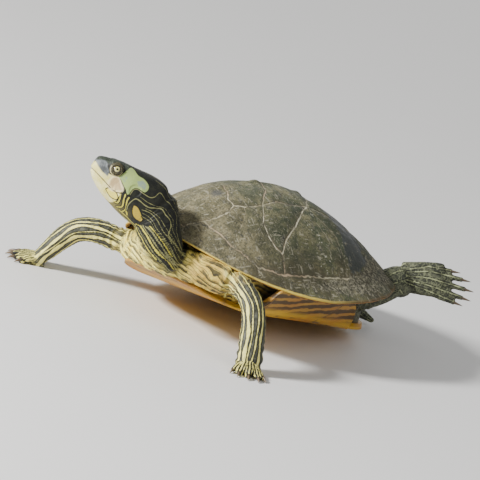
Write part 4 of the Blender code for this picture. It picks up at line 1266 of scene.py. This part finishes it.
def skin_material():
    g = Graph("turtle_skin")
    leg, forward = g.attribute("leg"), g.attribute("forward")
    teeth = (g.attribute("rows") * (TURN / 0.85)).sine()
    warp = (g.noise(2.6, 3, 0.6) - 0.5) * 0.55 + teeth * 0.10 * (leg + 0.35)
    mottle, fine = g.noise(4.5, 5, 0.62, 1.0), g.noise(1.0, 4, 0.65, 2.0)
    rear = forward.mask(0, -30)

    def mottled(low, high, first, second, by=mottle):
        return g.mix(by.mask(low, high), first, second)

    def marking(name):
        return g.attribute(name) + warp

    def inside(name, width=0.14, shift=0.0):
        """1 inside a marking, with an edge this many millimetres wide."""
        return marking(name).mask(width - shift, -width - shift)

    # Loose skin of the chest, darkened by painted shade where it runs in under the shell, and the striped
    # limbs, their dark skin mottled with pale grey painted sheen.
    swirl = g.attribute("swirl") * (TURN / 3.9) + (g.noise(6, 3) - 0.5) * 4.5
    chest = g.mix((g.attribute("left") + (mottle - 0.5) * 14).mask(24, 40),
                  mottled(0.35, 0.7, (0.92, 0.84, 0.26), (0.86, 0.66, 0.08)),
                  mottled(0.35, 0.7, (0.62, 0.40, 0.080), (0.84, 0.66, 0.15)))
    chest = g.coats(
        chest,
        (swirl.sine().mask(0.10, 0.42) * (g.noise(9, 2, shift=4.0).mask(0.40, 0.52) * 0.9),
         (0.060, 0.054, 0.030)),
        ((swirl * 2.0 + 0.6).sine().mask(0.72, 0.92) * 0.75, (0.045, 0.040, 0.026)),
        # painted shade: the skin darkens where it runs in under the shell
        (forward.mask(58, 30) * 0.93, mottled(0.4, 0.6, (0.030, 0.027, 0.018), (0.085, 0.078, 0.050))))
    limb = leg * (g.attribute("root") * -0.9 + 1.0)
    # Dark limb skin, its pale grey mottling painted sheen of wet skin; a little darker towards the rear.
    grey = g.mix(rear, mottled(0.38, 0.66, (0.034, 0.036, 0.024), (0.110, 0.112, 0.084)),
                 mottled(0.4, 0.62, (0.030, 0.033, 0.022), (0.095, 0.100, 0.062)))
    stripe = marking("stripes")
    broken = g.noise(5, 2, 0.5, 19.0).mask(0.60, 0.42) * -0.75
    squiggle = abs(g.noise(3.6, 2, 0.5, 18.0) - 0.5).mask(0.035, 0.015)
    bright = mottled(0.35, 0.7, (0.94, 0.86, 0.26), (0.72, 0.66, 0.20))
    colour = g.coats(
        chest, (limb, grey),
        (stripe.mask(0.95, 0.40) * (limb * 0.9), (0.008, 0.009, 0.006)),
        (squiggle * rear * (leg * 0.42), (0.26, 0.28, 0.15)),
        (stripe.mask(0.14, -0.14) * (leg * (rear * broken + 1.0)), g.mix(rear, bright, (0.30, 0.32, 0.17))))

    # Neck and head: the cream face, its spots and lines, then crown, eyelids and mouth.
    skin = g.mix(g.attribute("low") * 0.35, mottled(0.4, 0.7, (0.006, 0.007, 0.005), (0.020, 0.021, 0.012)),
                 mottled(0.3, 0.7, (0.46, 0.40, 0.11), (0.62, 0.52, 0.13)))
    beak = mottled(0.35, 0.7, (0.84, 0.78, 0.38), (0.66, 0.58, 0.15), g.noise(6, 4, shift=5.0))
    beak = g.mix(fine.mask(0.5, 0.8) * 0.30, beak, (0.50, 0.40, 0.20))
    skin = g.mix(inside("face", 0.4), skin, beak)
    for name, tint in (("blotch", (0.30, 0.39, 0.12)), ("neck_oval", (0.50, 0.36, 0.035)),
                       ("jaw_spot", (0.80, 0.68, 0.12))):
        skin = g.coats(skin, (marking(name).mask(0.95, 0.55), (0.010, 0.010, 0.007)), (inside(name), tint))
    skin = g.coats(
        skin,
        (marking("cheek_oval").mask(1.4, 0.3) * 0.8, (0.86, 0.74, 0.42)),
        (marking("cheek_oval").mask(0.3, -1.6), (0.46, 0.33, 0.16)),
        (g.noise(6, 3, shift=8.0).mask(0.50, 0.60) * inside("blotch", 0.3, 1.6) * 0.75, (0.20, 0.26, 0.25)))
    clear = inside("face").mask(1.0, 0.0)
    for name, tint, reach in (("wide", (0.52, 0.46, 0.06), 0.8), ("thin", (0.22, 0.215, 0.085), 0.7)):
        skin = g.coats(skin, (marking(name).mask(reach, 0.35) * clear, (0.006, 0.007, 0.005)),
                       (marking(name).mask(0.13, -0.13), tint))
    lids = g.attribute("lids") + warp * 0.6
    skin = g.coats(
        skin,
        (inside("lore", 0.5), mottled(0.4, 0.6, (0.062, 0.068, 0.068), (0.17, 0.185, 0.185))),
        (inside("crown", 0.5), mottled(0.45, 0.65, (0.022, 0.028, 0.020), (0.085, 0.100, 0.070), fine)),
        (lids.mask(0.3, -0.1), mottled(0.45, 0.6, (0.030, 0.028, 0.016), (0.11, 0.095, 0.045), fine)),
        (g.attribute("lower_lid").mask(0.36, 0.12) * 0.8, (0.56, 0.49, 0.26)),
        (g.attribute("mouth").mask(0.42, 0.16), (0.05, 0.035, 0.022)))

    relief = g.relief((g.scales(1.5, 0.16), 0.10, 0.6), (fine, 0.10, 0.5), (teeth * leg, 0.06, 0.6),
                      (g.scales(3.4, 0.12, (1, 1, 1.4)), 0.14, 0.35))
    colour = g.mix(g.attribute("neck"), colour, skin)
    return g.finish(colour, fine * 0.30 + 0.42, relief, Specular_IOR_Level=0.32)


def eye_material():
    g = Graph("eye_wet")
    ring = g.attribute("ring") + (g.noise(0.9, 2) - 0.5) * 1.6
    white = g.mix(g.noise(1.0, 3).mask(0.4, 0.65), (0.030, 0.022, 0.010), (0.115, 0.080, 0.030))
    bar = abs(g.attribute("over")).mask(0.6, 0.25) * ring.mask(17, 19)
    colour = g.coats(
        g.mix(g.noise(0.5, 3, 0.6, 2.0).mask(0.35, 0.7), (0.78, 0.74, 0.26), (0.56, 0.52, 0.15)),
        (bar * 0.55, (0.10, 0.075, 0.035)),
        (ring.mask(11.5, 9.5), (0.005, 0.005, 0.005)),
        (ring.mask(23.0, 25.5), white),
        (ring.mask(23.0, 24.5) * ring.mask(29.0, 27.0), (0.012, 0.009, 0.006)))
    relief = g.relief((g.noise(0.45, 2, 0.5, 5.0), 0.02, 0.4))
    return g.finish(colour, g.noise(2, 2) * 0.08 + 0.10, relief, Coat_Weight=1.0, Coat_Roughness=0.03,
                    Specular_IOR_Level=0.6)


def claw_material():
    g = Graph("claw_horn")
    share = g.attribute("share") + g.noise(1.5, 3) * 0.25
    streaks = g.noise(0.6, 3, shift=3.0, stretch=(1, 1, 3)).mask(0.45, 0.7)
    colour = g.coats(g.mix(share.mask(0.15, 0.95), (0.030, 0.022, 0.014), (0.165, 0.115, 0.065)),
                     (streaks * 0.5, (0.05, 0.036, 0.022)))
    relief = g.relief((g.noise(0.5, 3, 0.6, 4.0, (1, 1, 2.5)), 0.05, 0.7))
    return g.finish(colour, g.noise(1.5, 2) * 0.25 + 0.28, relief, Specular_IOR_Level=0.5)


# ---------------------------------------------------------------- studio
# The picture's right, up and towards-the-eye directions. They are fixed to the body, so the view of it is the
# photograph's whatever the floor does.
RIGHT = np.array([0.64261, 0.70576, 0.29826])
OVER = np.array([-0.39581, -0.02752, 0.91792])
BACK = np.array([0.65605, -0.70791, 0.26166])
PIXELS_PER_MM, LENS, SENSOR = 1.462, 1400.0, 36.0
FRAME_PIXELS = 480
FLOOR_HALF, FLOOR_BELOW = 6000.0, 0.2
AIM = np.array(BODY_ORIGIN) - RIGHT * 2.33 + OVER * 42.5


def studio():
    scene = bpy.context.scene
    world = bpy.data.worlds.new("studio")
    scene.world = world
    world.use_nodes = True
    sky = world.node_tree.nodes["Background"]
    sky.inputs["Color"].default_value = (0.93, 0.94, 0.95, 1.0)
    sky.inputs["Strength"].default_value = 0.34

    corners = [(x, y, -FLOOR_BELOW) for x, y in
               ((-FLOOR_HALF, -FLOOR_HALF), (FLOOR_HALF, -FLOOR_HALF),
                (FLOOR_HALF, FLOOR_HALF), (-FLOOR_HALF, FLOOR_HALF))]
    floor = mesh_object("floor", corners, [(0, 1, 2, 3)], smooth=False)
    g = Graph("floor_paint")
    relief = g.relief((g.noise(2.0, 3), 0.05, 0.2))
    floor.data.materials.append(g.finish((0.80, 0.79, 0.77), g.noise(60, 2) * 0.15 + 0.6, relief))

    for name, way, power, size in (("key", -1.15 * RIGHT + 1.05 * OVER + 1.0 * BACK, 76.0, 0.26),
                                   ("fill", 1.3 * RIGHT + 0.7 * OVER + 0.8 * BACK, 6.0, 1.4),
                                   ("rim", 0.4 * RIGHT + 1.1 * OVER - 1.5 * BACK, 4.0, 1.0)):
        light = bpy.data.lights.new(name, "AREA")
        light.energy, light.size = power, size
        lamp = bpy.data.objects.new(name, light)
        scene.collection.objects.link(lamp)
        target = Vector(AIM * MM)
        lamp.location = target + Vector(way)
        lamp.rotation_euler = (target - lamp.location).to_track_quat("-Z", "Y").to_euler()

    data = bpy.data.cameras.new("photo_view")
    data.lens, data.sensor_width = LENS, SENSOR
    data.clip_start, data.clip_end = 1.0, 100.0
    camera = bpy.data.objects.new("photo_view", data)
    scene.collection.objects.link(camera)
    away = FRAME_PIXELS / PIXELS_PER_MM * LENS / SENSOR
    eye = (AIM + BACK * away) * MM
    turn = Matrix(np.array([RIGHT, OVER, BACK]).T.tolist()).to_4x4()
    camera.matrix_world = Matrix.Translation(Vector(eye)) @ turn
    scene.camera = camera


def main():
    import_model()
    shell, belly, skin = carapace_piece(), plastron_piece(), skin_piece()
    shell.data.materials.append(carapace_material())
    belly.data.materials.append(plastron_material())
    skin.data.materials.append(skin_material())
    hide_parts("carapace")
    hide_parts("plastron")
    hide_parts("trunk", "neck", "head", "lower_jaw", "foreleg_upper_l", "foreleg_lower_l",
                "forefoot_l", "foreleg_upper_r", "foreleg_lower_r", "forefoot_r", "thigh_l", "shin_l",
                "hindfoot_l", "thigh_r", "shin_r", "hindfoot_r", "tail")
    rides = [shell, belly, skin]
    eye_finish, claw_finish = eye_material(), claw_material()
    for node, side in (("eye_l", 1), ("eye_r", -1)):
        eye = eye_piece("eyeball" + node[3:], side)
        eye.data.materials.append(eye_finish)
        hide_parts(node)
        rides.append(eye)
    for name, facts in FEET.items():
        claws = claw_piece("claws_" + name, Foot(*facts))
        claws.data.materials.append(claw_finish)
        rides.append(claws)
    for piece in rides:
        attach(piece, "root")
    studio()


main()
